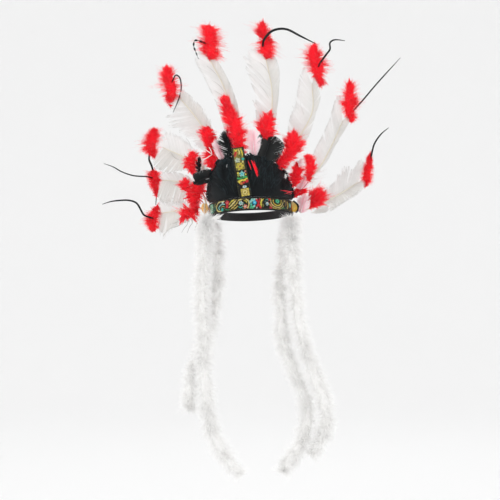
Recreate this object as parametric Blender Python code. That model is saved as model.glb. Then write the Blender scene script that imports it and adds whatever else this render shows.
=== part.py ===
# Feathered headdress: a ribbon-faced headband with a black feather crest, a halo of
# white quill feathers tipped with red down and a fine black filament each, red, pink and
# black inner feathers, and two pairs of white down boas that hang from the temples.
#
# Metres, +Z up. The front faces -Y and the wearer's right side is at -X.
# The origin is the middle of the head hollow, 6 mm over the band's mid height there.
# Tables are in millimetres, one row for each feather, base first.

import bpy
import bmesh
import math
from mathutils import Vector, Matrix

MM = 0.001

# ---------------------------------------------------------------- driving sizes (mm)
HEAD_HALF_WIDTH = 71.0      # hollow of the band, half its width
HEAD_HALF_DEPTH = 93.0      # hollow of the band, half its depth (loop of about 520)
BAND_WALL = 2.5
BAND_HEIGHT = 22.5
BAND_END_DEG = 100.0        # the front band ends behind the temples
ELASTIC_WALL = 1.6
ELASTIC_HEIGHT = 15.0
RIBBON_THICK = 0.9
RIBBON_HEIGHT = 19.5
RIBBON_END_DEG = 84.0
CLEAR = 0.3                 # gap between pieces that meet
BAND_ROLL_DEG = 2.2         # the band sits a little lower over one temple
BAND_PITCH_DEG = 5.6        # and higher over the brow
BAND_DROP = 6.0             # its middle lies this far under the origin
CREST_ROLL_DEG = 3.2        # the crest and the feathers in it stand more upright
CREST_PITCH_DEG = 2.0

FELT_THICK = 2.0
FELT_SHARE = 0.72           # felt height as a share of the feather crest over it
CREST_FRONT = 8.0           # how far the crest's feathers stand out from the hollow
CENTRE_RIBBON_WIDTH = 22.0
CENTRE_RIBBON_THICK = 1.2

VANE_THICK = 2.4            # outer form of a flat feather
QUILL_HALF = 1.3            # half width of a bare quill
FILAMENT_R = 1.1
BOA_R = 12.0
WEB_STEPS = 14              # sections along a white feather

# crest outline: place round the band, height over the band's top edge
CREST = (  # (deg, height)
    (-72, 24), (-60, 49), (-38, 67), (0, 69.5), (12, 69), (31, 57), (54, 43), (66, 26), (72, 14),
)

# centre ribbon: (x, y, z) of its foot and top on the crest's front
CENTRE_RIBBON_FOOT = (-9.5, -102.6, 15.0)
CENTRE_RIBBON_TOP = (-23.5, -104.0, 97.0)

# white quill feathers: root on the band (deg, out, z), then knee, middle and tip,
# and the half widths of the wide and narrow webs (first is the turning side T x Y)
WHITE = (  # name, root, knee, middle, tip, web_a, web_b
    ("white_feather_1", (-115, 5, 0), (-91, 48, 0), (-129, 92, -3), (-163, 135, -7), 30, 18),
    ("white_feather_2", (-101, 5, 4), (-88, 20, 30), (-126, 72, 47), (-160, 122, 53), 30, 12),
    ("white_feather_3", (-84, 1, 15), (-82, -18, 66), (-119, 32, 90), (-155, 76, 108), 18, 20),
    ("white_feather_4", (-46, -6, 10), (-60, -46, 93), (-90, -18, 147), (-124, 17, 191), 25, 12),
    ("white_feather_5", (-15, -6, 10), (-26, -70, 115), (-43, -55, 195), (-70, -40, 251), 22, 12),
    ("white_feather_6", (17, -6, 10), (31, -63, 112), (36, -52, 196), (26, -40, 252), 33, 13),
    ("white_feather_7", (42, -6, 10), (68, -39, 92), (106, -18, 164), (107, 6, 210), 22, 10),
    ("white_feather_8", (85, 1, 17), (113, -20, 60), (139, 12, 103), (160, 40, 148), 19, 11),
    ("white_feather_9", (103, 5, 0), (101, 24, -3), (149, 72, 20), (192, 112, 46), 26, 16),
)

# red down at the tips: three places along the tuft and its greatest radius
RED_TIPS = (  # name, start, middle, end, radius
    ("red_tip_1", (-173, 138, 4), (-183, 140, -18), (-187, 141, -42), 12),
    ("red_tip_2", (-178, 130, 70), (-178, 131, 46), (-175, 131, 22), 11),
    ("red_tip_3", (-183, 92, 144), (-181, 92, 119), (-176, 92, 93), 13),
    ("red_tip_4", (-149, 26, 249), (-145, 27, 215), (-140, 25, 182), 14),
    ("red_tip_5", (-77, -42, 311), (-73, -42, 285), (-69, -42, 256), 15),
    ("red_tip_6", (17, -42, 319), (22, -42, 290), (26, -42, 257), 13),
    ("red_tip_7", (112, 14, 288), (115, 15, 249), (127, 15, 211), 13),
    ("red_tip_8", (176, 56, 229), (181, 56, 190), (177, 55, 151), 13),
    ("red_tip_9", (221, 126, 100), (216, 127, 70), (209, 127, 40), 9),
)

# fine black filaments: places along each one
FILAMENTS = (  # name, places
    ("filament_1", ((-189, 124, -14), (-196, 124, -11), (-210, 126, 11), (-223, 127, 16),
                    (-241, 128, 16), (-257, 128, 14), (-273, 128, 9))),
    ("filament_2", ((-190, 115, 59), (-215, 116, 61), (-236, 116, 68), (-252, 116, 77),
                    (-269, 115, 83))),
    ("filament_3", ((-186, 112, 91), (-182, 124, 79), (-179, 146, 62), (-175, 150, 36),
                    (-176, 148, 8))),
    ("filament_4", ((-137, 8, 223), (-132, 7, 232), (-126, 10, 229), (-123, 18, 217),
                    (-124, 23, 204), (-128, 8, 187), (-136, -7, 165))),
    ("filament_5", ((-84, -61, 281), (-96, -60, 283), (-98, -59, 274), (-95, -58, 265),
                    (-90, -57, 252))),
    ("filament_6", ((22, -62, 285), (34, -61, 298), (48, -60, 303), (62, -60, 302),
                    (84, -60, 291), (110, -60, 278))),
    ("filament_7", ((121, -4, 253), (131, -4, 266), (138, -4, 276), (138, -4, 287),
                    (145, -4, 292), (164, -4, 291))),
    ("filament_8", ((183, 38, 174), (196, 39, 188), (224, 39, 221), (265, 38, 266))),
    ("filament_9", ((212, 112, 75), (219, 112, 99), (225, 112, 118), (237, 112, 136),
                    (251, 110, 148))),
)

# soft inner plumes: root (deg, out, z), then three places, radius and how flat each is
PLUMES = (  # name, root, first, middle, last, radius, flatness
    ("red_plume_1", (-106, 5, -6), (-92, 22, -20), (-110, 34, -12), (-130, 46, -5), 11, 0.8),
    ("red_plume_2", (-88, 6, 4), (-84, -10, 36), (-97, 10, 25), (-111, 26, 4), 14, 0.7),
    ("red_plume_3", (-94, 1, 16), (-106, 28, 55), (-120, 36, 50), (-134, 44, 40), 6, 0.9),
    ("red_plume_4", (-79, 1, 16), (-92, -22, 58), (-103, -22, 76), (-117, -17, 90), 10, 0.8),
    ("red_plume_5", (-55, -2.5, 50), (-65, -53, 96), (-76, -52, 114), (-83, -50, 138), 10, 0.7),
    ("red_plume_6", (-48, -2.5, 62), (-57, -62, 92), (-68, -58, 83), (-83, -54, 72), 11, 0.4),
    ("red_plume_7", (-9, -2.5, 60), (-17, -88, 90), (-25, -88, 120), (-47, -82, 186), 14, 0.6),
    ("red_plume_8", (11, -1.8, 62), (22, -86, 110), (27, -81, 136), (30, -78, 158), 14, 0.6),
    ("red_plume_9", (36, -2.5, 66), (53, -68, 80), (68, -60, 97), (88, -46, 126), 11, 0.7),
    ("red_plume_10", (62, -2.5, 45), (78, -48, 48), (83, -45, 60), (86, -42, 76), 11, 0.5),
    ("red_plume_11", (76, 2, 16), (96, -48, 47), (104, -48, 66), (110, -46, 87), 9, 0.7),
    ("red_plume_12", (81, 1, 16), (78, -24, 18), (89, -18, 21), (102, -12, 27), 8, 0.7),
    ("red_plume_13", (95, 5, 3), (102, 0, 10), (119, 8, 12), (138, 16, 16), 14, 0.7),
)

# flat trimmed feathers: three or four places, half width near the end
TRIMMED = (  # name, root, middle, end, half_width, colour
    ("pink_feather_1", (-45, -66, 74), (-54, -66, 96), (-60, -63, 113), 8, "pink"),
    ("pink_feather_2", (1, -88, 74), (3, -86, 106), (0, -83, 131), 11, "pink"),
    ("pink_feather_3", (86, -29, 38), (91, -30, 47), (96, -31, 57), 5, "pink"),
    ("pink_feather_4", (80, -12, -8), (92, -8, 0), (105, -4, 6), 10, "pink"),
    ("black_feather_1", (-57, -43, 54), (-80, -36, 54), (-99, -30, 55), 7, "black"),
    ("black_feather_2", (-24, -84, 66), (-36, -79, 95), (-41, -73, 126), 9, "black"),
    ("black_feather_3", (17, -82, 69), (29, -75, 95), (42, -69, 120), 14, "black"),
    ("black_feather_4", (-66, -32, 46), (-84, -28, 64), (-94, -24, 90), 4, "black"),
    ("temple_feather_left", (-79, -30, 8), (-83, -27, -6), (-84, -26, -17), 4, "amber"),
    ("temple_feather_right", (72, -34, 11), (77, -30, -1), (81, -28, -12), 5, "amber"),
)

# white down boas: their whole hanging routes
BOAS = (  # name, places
    ("boa_left_front", ((-77, -40, -18), (-77, -44, -49), (-81, -49, -96), (-84, -54, -144),
                        (-84, -58, -191), (-80, -60, -229), (-80, -60, -273),
                        (-77, -58, -318), (-74, -57, -352), (-67, -57, -383),
                        (-51, -59, -417), (-32, -64, -442), (-15, -70, -458))),
    ("boa_left_rear", ((-70, -2, -23), (-65, -7, -58), (-60, -12, -96), (-61, -18, -144),
                       (-68, -24, -189), (-80, -27, -231), (-95, -30, -269),
                       (-104, -34, -306), (-108, -37, -353))),
    ("boa_right_outer", ((69, -42, -20), (70, -46, -61), (73, -50, -109), (77, -54, -161),
                         (82, -57, -198), (91, -60, -237), (102, -62, -273),
                         (116, -64, -307), (126, -65, -338), (128, -66, -368),
                         (119, -66, -399), (101, -64, -425))),
    ("boa_right_inner", ((72, 14, -26), (65, 8, -61), (56, -2, -96), (51, -12, -134),
                         (52, -20, -172), (54, -27, -214), (60, -31, -251), (73, -34, -282),
                         (88, -36, -315), (97, -38, -347), (95, -42, -381), (81, -50, -413),
                         (65, -58, -436), (53, -66, -454))),
)

# ---------------------------------------------------------------- colours
COLOURS = {  # colour (linear), roughness, metallic
    "band_black": ((0.012, 0.013, 0.014), 0.75, 0.0),
    "elastic_black": ((0.015, 0.015, 0.016), 0.85, 0.0),
    "ribbon": ((0.30, 0.28, 0.10), 0.45, 0.0),
    "felt": ((0.010, 0.012, 0.014), 0.90, 0.0),
    "black": ((0.010, 0.014, 0.018), 0.45, 0.0),
    "white": ((0.82, 0.81, 0.77), 0.60, 0.0),
    "red": ((0.80, 0.015, 0.03), 0.80, 0.0),
    "pink": ((0.85, 0.48, 0.55), 0.70, 0.0),
    "amber": ((0.75, 0.38, 0.06), 0.60, 0.0),
    "down_white": ((0.88, 0.87, 0.84), 0.90, 0.0),
}


def clear_scene():
    for obj in list(bpy.data.objects):
        bpy.data.objects.remove(obj, do_unlink=True)


def material(name, key):
    colour, rough, metal = COLOURS[key]
    mat = bpy.data.materials.new(name)
    mat.use_nodes = True
    bsdf = mat.node_tree.nodes["Principled BSDF"]
    bsdf.inputs["Base Color"].default_value = (*colour, 1.0)
    bsdf.inputs["Roughness"].default_value = rough
    bsdf.inputs["Metallic"].default_value = metal
    return mat


def add_mesh(name, rings, key, closed=False, smooth=True, parent=None):
    """Joins rings of the same count into one closed body (a loop, or capped ends)."""
    bm = bmesh.new()
    rows = [[bm.verts.new(Vector(p) * MM) for p in ring] for ring in rings]
    count = len(rows[0])
    pairs = list(zip(rows, rows[1:]))
    if closed:
        pairs.append((rows[-1], rows[0]))
    for a, b in pairs:
        for i in range(count):
            j = (i + 1) % count
            bm.faces.new((a[i], a[j], b[j], b[i]))
    if not closed:
        bm.faces.new(rows[0])
        bm.faces.new(list(reversed(rows[-1])))
    bmesh.ops.recalc_face_normals(bm, faces=bm.faces)
    mesh = bpy.data.meshes.new(name)
    bm.to_mesh(mesh)
    bm.free()
    if smooth:
        mesh.shade_smooth()
        mesh.set_sharp_from_angle(angle=math.radians(50))
    mesh.materials.append(material(name, key))
    obj = bpy.data.objects.new(name, mesh)
    bpy.context.scene.collection.objects.link(obj)
    obj.parent = parent
    return obj


# ---------------------------------------------------------------- curves
def smooth_path(points, count):
    """Centripetal Catmull-Rom through the points, resampled at even steps."""
    pts = [Vector(p) for p in points]
    pts = [pts[0] * 2 - pts[1]] + pts + [pts[-1] * 2 - pts[-2]]
    dense = []
    for i in range(1, len(pts) - 2):
        p0, p1, p2, p3 = pts[i - 1:i + 3]
        t1 = max((p1 - p0).length, 1e-6) ** 0.5
        t2 = t1 + max((p2 - p1).length, 1e-6) ** 0.5
        t3 = t2 + max((p3 - p2).length, 1e-6) ** 0.5
        for k in range(24):
            t = t1 + (t2 - t1) * k / 24
            a1 = p0 * ((t1 - t) / t1) + p1 * (t / t1)
            a2 = p1 * ((t2 - t) / (t2 - t1)) + p2 * ((t - t1) / (t2 - t1))
            a3 = p2 * ((t3 - t) / (t3 - t2)) + p3 * ((t - t2) / (t3 - t2))
            b1 = a1 * ((t2 - t) / t2) + a2 * (t / t2)
            b2 = a2 * ((t3 - t) / (t3 - t1)) + a3 * ((t - t1) / (t3 - t1))
            dense.append(b1 * ((t2 - t) / (t2 - t1)) + b2 * ((t - t1) / (t2 - t1)))
    dense.append(pts[-2])
    run = [0.0]
    for a, b in zip(dense, dense[1:]):
        run.append(run[-1] + (b - a).length)
    out, j = [], 0
    for k in range(count):
        want = run[-1] * k / (count - 1)
        while j < len(run) - 2 and run[j + 1] < want:
            j += 1
        f = (want - run[j]) / max(run[j + 1] - run[j], 1e-9)
        out.append(dense[j].lerp(dense[j + 1], min(max(f, 0.0), 1.0)))
    return out


def frames(path):
    """Place, side (in the frontal plane) and face direction along a path."""
    out = []
    for i, p in enumerate(path):
        a, b = path[max(i - 1, 0)], path[min(i + 1, len(path) - 1)]
        tangent = (b - a).normalized()
        side = tangent.cross(Vector((0, 1, 0))).normalized()
        out.append((p, side, side.cross(tangent).normalized()))
    return out


def table_value(table, x):
    """Reads a smooth value out of (place, value) rows."""
    if x <= table[0][0]:
        return table[0][1]
    for (x0, v0), (x1, v1) in zip(table, table[1:]):
        if x <= x1:
            f = (x - x0) / (x1 - x0)
            f = f * f * (3 - 2 * f)
            return v0 + (v1 - v0) * f
    return table[-1][1]


# ---------------------------------------------------------------- the hollow's oval
def leaning(roll, pitch):
    return (Matrix.Rotation(math.radians(-roll), 3, 'Y')
            @ Matrix.Rotation(math.radians(-pitch), 3, 'X'))


TILT = leaning(BAND_ROLL_DEG, BAND_PITCH_DEG)
SEAT = Vector((0, 0, -BAND_DROP))
CREST_UP = leaning(CREST_ROLL_DEG, CREST_PITCH_DEG) @ Vector((0, 0, 1))


def oval(deg, out, z):
    """A place beside the head hollow: 0 deg is the brow, out is away from the hollow."""
    a = math.radians(deg)
    x, y = HEAD_HALF_WIDTH * math.sin(a), -HEAD_HALF_DEPTH * math.cos(a)
    normal = Vector((math.sin(a) / HEAD_HALF_WIDTH, -math.cos(a) / HEAD_HALF_DEPTH, 0))
    return Vector((x, y, z)) + normal.normalized() * out


def worn(deg, out, z):
    """A place on the tilted band; over its top edge things stand upright."""
    top = BAND_HEIGHT / 2 + CLEAR
    return SEAT + TILT @ oval(deg, out, min(z, top)) + CREST_UP * max(z - top, 0.0)


def arc(start, end, count):
    return [start + (end - start) * i / (count - 1) for i in range(count)]


# ---------------------------------------------------------------- band, ribbons, crest
def build_band(seat):
    half = BAND_HEIGHT / 2
    edge = 0.6     # the band's edges are softened

    def section(deg, lo, hi, half_height):
        return [oval(deg, lo, -half_height), oval(deg, hi, -half_height + edge),
                oval(deg, hi, half_height - edge), oval(deg, lo, half_height)]

    rings = [section(d, 0, BAND_WALL, half) for d in arc(-BAND_END_DEG, BAND_END_DEG, 41)]
    add_mesh("headband", rings, "band_black", parent=seat)

    gap = math.degrees(CLEAR / HEAD_HALF_WIDTH)
    rings = [section(d, 0.4, 0.4 + ELASTIC_WALL, ELASTIC_HEIGHT / 2)
             for d in arc(BAND_END_DEG + gap, 360 - BAND_END_DEG - gap, 33)]
    add_mesh("back_elastic", rings, "elastic_black", parent=seat)

    lo = BAND_WALL + CLEAR
    rings = [[oval(d, lo, -RIBBON_HEIGHT / 2), oval(d, lo + RIBBON_THICK, -RIBBON_HEIGHT / 2),
              oval(d, lo + RIBBON_THICK, RIBBON_HEIGHT / 2), oval(d, lo, RIBBON_HEIGHT / 2)]
             for d in arc(-RIBBON_END_DEG, RIBBON_END_DEG, 35)]
    add_mesh("band_ribbon", rings, "ribbon", parent=seat)


def build_crest():
    bottom = BAND_HEIGHT / 2 + CLEAR

    rings = []
    for d in arc(-67, 67, 27):
        top = bottom + FELT_SHARE * table_value(CREST, d)
        rings.append([worn(d, 0.2, bottom), worn(d, 0.2 + FELT_THICK, bottom),
                      worn(d, 0.2 + FELT_THICK, top), worn(d, 0.2, top)])
    add_mesh("crest_felt", rings, "felt")

    lo = 0.2 + FELT_THICK + CLEAR
    rings = []
    for d in arc(-72, 72, 29):
        h = table_value(CREST, d)
        rings.append([worn(d, lo, bottom), worn(d, lo + 2.0, bottom),
                      worn(d, CREST_FRONT, bottom + 0.35 * h),
                      worn(d, CREST_FRONT - 0.8, bottom + 0.75 * h),
                      worn(d, lo + 1.6, bottom + h), worn(d, lo, bottom + h)])
    add_mesh("black_crest", rings, "black")


def build_centre_ribbon():
    foot, top = Vector(CENTRE_RIBBON_FOOT), Vector(CENTRE_RIBBON_TOP)
    run = (top - foot).normalized()
    side = run.cross(Vector((0.12, 1, 0))).normalized()
    face = side.cross(run).normalized()
    rings = []
    for k in range(9):
        t = k / 8
        p = foot.lerp(top, t) - face * (0.9 * math.sin(math.pi * t))
        w, h = CENTRE_RIBBON_WIDTH / 2, CENTRE_RIBBON_THICK / 2
        rings.append([p - side * w - face * h, p + side * w - face * h,
                      p + side * w + face * h, p - side * w + face * h])
    add_mesh("centre_ribbon", rings, "ribbon")


# ---------------------------------------------------------------- feathers
def build_white_feathers():
    shape = ((0.0, 0.0), (0.16, 0.60), (0.45, 0.90), (0.75, 1.0), (0.92, 0.88), (1.0, 0.5))
    for name, root, knee, middle, tip, web_a, web_b in WHITE:
        path = smooth_path([worn(*root), knee, middle, tip], WEB_STEPS)
        start = 0.20 if root[1] > 0 else 0.29     # where the web begins along the quill
        rings = []
        for i, (p, side, face) in enumerate(frames(path)):
            t = max(0.0, (i / (WEB_STEPS - 1) - start) / (1 - start))
            s = table_value(shape, t)
            a, b = max(QUILL_HALF, web_a * s), max(QUILL_HALF, web_b * s)
            h = VANE_THICK / 2
            rings.append([p + side * a, p + side * (a * 0.45) + face * h * 0.8,
                          p + face * h, p - side * (b * 0.45) + face * h * 0.8,
                          p - side * b, p - side * (b * 0.45) - face * h * 0.8,
                          p - face * h, p + side * (a * 0.45) - face * h * 0.8])
        add_mesh(name, rings, "white")


def round_ring(p, side, face, r, flat, count):
    return [p + side * (r * math.cos(2 * math.pi * k / count))
            + face * (r * flat * math.sin(2 * math.pi * k / count)) for k in range(count)]


def build_red_tips():
    body = ((0.0, 0.25), (0.14, 0.75), (0.35, 1.0), (0.65, 1.0), (0.86, 0.78), (1.0, 0.25))
    for name, start, middle, end, radius in RED_TIPS:
        path = smooth_path([start, middle, end], 8)
        rings = [round_ring(p, side, face, radius * table_value(body, i / 7), 0.9, 8)
                 for i, (p, side, face) in enumerate(frames(path))]
        add_mesh(name, rings, "red")


def build_plumes():
    body = ((0.0, 0.10), (0.20, 0.70), (0.50, 1.0), (0.80, 0.85), (1.0, 0.25))
    for name, root, first, middle, last, radius, flat in PLUMES:
        foot = worn(*root)
        path = smooth_path([foot, first, middle, last], 12)
        stem = (Vector(first) - foot).length
        whole = stem + (Vector(middle) - Vector(first)).length
        whole += (Vector(last) - Vector(middle)).length
        start = stem / whole
        rings = []
        for i, (p, side, face) in enumerate(frames(path)):
            t = (i / 11 - start) / (1 - start)
            r = 1.2 if t <= 0 else max(1.2, radius * table_value(body, t))
            f = 1.0 if r < 2.5 else flat
            rings.append(round_ring(p, side, face, r, f, 8))
        add_mesh(name, rings, "red")


def build_trimmed():
    shape = ((0.0, 0.15), (0.35, 0.45), (0.75, 1.0), (1.0, 0.7))
    for name, root, middle, end, half, key in TRIMMED:
        rings = []
        for i, (p, side, face) in enumerate(frames(smooth_path([root, middle, end], 9))):
            w = max(QUILL_HALF, half * table_value(shape, i / 8))
            rings.append([p + side * w, p + face * 0.9, p - side * w, p - face * 0.9])
        add_mesh(name, rings, key)


def build_cord(name, places, radius, count, resolution, key):
    curve = bpy.data.curves.new(name, 'CURVE')
    curve.dimensions = '3D'
    curve.bevel_depth = radius * MM
    curve.bevel_resolution = resolution
    curve.use_fill_caps = True
    spline = curve.splines.new('POLY')
    spline.points.add(count - 1)
    for point, place in zip(spline.points, smooth_path(places, count)):
        point.co = (*(place * MM), 1.0)
    curve.materials.append(material(name, key))
    obj = bpy.data.objects.new(name, curve)
    bpy.context.scene.collection.objects.link(obj)
    return obj


def build_filaments():
    for name, places in FILAMENTS:
        build_cord(name, places, FILAMENT_R, 13, 2, "black")


def build_boas():
    for name, places in BOAS:
        length = sum((Vector(b) - Vector(a)).length for a, b in zip(places, places[1:]))
        count = int(length / (BOA_R * 1.5)) + 2
        build_cord(name, places, BOA_R, count, 2, "down_white")


def main():
    clear_scene()
    seat = bpy.data.objects.new("head_seat_frame", None)
    bpy.context.scene.collection.objects.link(seat)
    seat.rotation_mode = 'QUATERNION'
    seat.rotation_quaternion = TILT.to_quaternion()
    seat.location = SEAT * MM
    build_band(seat)
    build_crest()
    build_centre_ribbon()
    build_white_feathers()
    build_red_tips()
    build_plumes()
    build_trimmed()
    build_filaments()
    build_boas()


main()
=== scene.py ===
import math
import bpy
import numpy as np
from mathutils import Matrix, Vector


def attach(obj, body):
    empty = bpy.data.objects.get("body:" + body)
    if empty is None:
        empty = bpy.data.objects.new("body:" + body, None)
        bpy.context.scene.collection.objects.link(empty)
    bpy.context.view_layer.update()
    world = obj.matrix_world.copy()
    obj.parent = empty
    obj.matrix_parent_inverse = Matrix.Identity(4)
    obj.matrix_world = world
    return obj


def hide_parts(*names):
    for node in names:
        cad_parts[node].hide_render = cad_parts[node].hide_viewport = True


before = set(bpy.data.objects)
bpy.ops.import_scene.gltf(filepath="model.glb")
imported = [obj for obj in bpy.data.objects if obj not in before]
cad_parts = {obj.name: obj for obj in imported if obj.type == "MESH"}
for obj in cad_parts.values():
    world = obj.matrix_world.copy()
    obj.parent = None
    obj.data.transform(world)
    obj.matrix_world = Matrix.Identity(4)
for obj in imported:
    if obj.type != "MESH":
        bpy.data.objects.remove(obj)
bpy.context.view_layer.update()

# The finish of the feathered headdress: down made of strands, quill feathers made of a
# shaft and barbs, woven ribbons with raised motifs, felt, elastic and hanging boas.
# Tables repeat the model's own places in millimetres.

MM = 0.001

# ================================================================ tables (mm)
HEAD_A, HEAD_B = 71.0, 93.0
BAND_WALL, BAND_HEIGHT, BAND_END = 2.5, 22.5, 100.0
RIBBON_HEIGHT, RIBBON_END = 19.5, 84.0
ELASTIC_HEIGHT = 15.0
CREST = ((-72, 24), (-60, 49), (-38, 67), (0, 69.5), (12, 69), (31, 57), (54, 43), (66, 26), (72, 14))
CREST_FRONT = 8.0
CENTRE_FOOT, CENTRE_TOP, CENTRE_WIDTH = (-9.5, -102.6, 15.0), (-23.5, -104.0, 97.0), 22.0
ROLL, PITCH, DROP = 2.2, 5.6, 6.0
CREST_ROLL, CREST_PITCH = 3.2, 2.0

WHITE = (  # name, root (deg, out, z), knee, middle, tip, web_a, web_b
    ("white_feather_1", (-115, 5, 0), (-91, 48, 0), (-129, 92, -3), (-163, 135, -7), 30, 18),
    ("white_feather_2", (-101, 5, 4), (-88, 20, 30), (-126, 72, 47), (-160, 122, 53), 30, 12),
    ("white_feather_3", (-84, 1, 15), (-82, -18, 66), (-119, 32, 90), (-155, 76, 108), 18, 20),
    ("white_feather_4", (-46, -6, 10), (-60, -46, 93), (-90, -18, 147), (-124, 17, 191), 25, 12),
    ("white_feather_5", (-15, -6, 10), (-26, -70, 115), (-43, -55, 195), (-70, -40, 251), 22, 12),
    ("white_feather_6", (17, -6, 10), (31, -63, 112), (36, -52, 196), (26, -40, 252), 33, 13),
    ("white_feather_7", (42, -6, 10), (68, -39, 92), (106, -18, 164), (107, 6, 210), 22, 10),
    ("white_feather_8", (85, 1, 17), (113, -20, 60), (139, 12, 103), (160, 40, 148), 19, 11),
    ("white_feather_9", (103, 5, 0), (101, 24, -3), (149, 72, 20), (192, 112, 46), 26, 16),
)
# Outlines are read in the front view: 500 units each way, one unit 1.75 mm at the hollow's
# middle. Both edges run from the foot of the down to its top.
RED_TIPS = (  # name, depth, left edge, right edge
    ("red_tip_1", 138, ((153, 232), (145.5, 227), (144.2, 220), (148.5, 211.5), (156, 206), (158.5, 204)),
     ((153, 232), (158.5, 228), (160.3, 219), (160.4, 211), (159.6, 206), (158.5, 204))),
    ("red_tip_2", 131, ((156.5, 197.5), (151.5, 190), (147.2, 181), (147, 174), (150, 171.5), (154, 170.5)),
     ((156.5, 197.5), (159.3, 191), (161.3, 183), (161.6, 175.5), (159, 172), (154, 170.5))),
    ("red_tip_3", 92, ((155.3, 158), (150, 156.5), (143.5, 152), (141, 145), (144.5, 136.5), (149, 130.5), (154, 128)),
     ((155.3, 158), (158.5, 151), (161.6, 141), (161, 134), (158.5, 130), (154, 128))),
    ("red_tip_4", 27, ((170.5, 107), (164.5, 100), (160.5, 89), (158.8, 77), (161, 69.5), (166.5, 65.5)),
     ((170.5, 107), (175, 104), (179, 96), (182, 86.5), (177.5, 77.5), (173, 69), (166.5, 65.5))),
    ("red_tip_5", -42, ((210, 58.5), (203, 54.5), (197.8, 47), (197.8, 42), (199.5, 36), (199, 29), (203, 25), (209, 26)),
     ((210, 58.5), (216.5, 60), (220.8, 59), (221.5, 50), (222, 41), (220.5, 33), (217.5, 28), (209, 26))),
    ("red_tip_6", -42, ((267, 57.5), (260, 54), (254.6, 47), (256.5, 42), (259, 37.5), (254.5, 32), (252.8, 28.5), (257, 24), (263, 20.5)),
     ((267, 57.5), (274, 59), (276.7, 50), (275.8, 44), (271.4, 37), (270.7, 31), (267.3, 25), (263, 20.5))),
    ("red_tip_7", 15, ((320, 87), (313, 79), (308.5, 72), (304.6, 66.5), (303.2, 57), (303.8, 51), (308, 46), (314.5, 43.5)),
     ((320, 87), (325.8, 84), (325.5, 78), (327, 72.5), (330.5, 67), (326, 60), (323, 54), (319.8, 47), (314.5, 43.5))),
    ("red_tip_8", 56, ((351, 122.5), (344, 117), (340.8, 109), (339.8, 98), (342.8, 91), (345.6, 86), (346, 83), (349.5, 81)),
     ((351, 123), (357.5, 119.5), (356.3, 111), (361.2, 102.5), (358, 94), (356.8, 87.5), (353.2, 82), (349.5, 79))),
    ("red_tip_9", 127, ((365, 187.5), (361.6, 181), (360.6, 174), (363.8, 166), (366.8, 158), (370, 152.5)),
     ((365, 187.5), (370.9, 183), (373.4, 176.5), (373.6, 168), (372.8, 159), (370, 152.5))),
)
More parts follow.
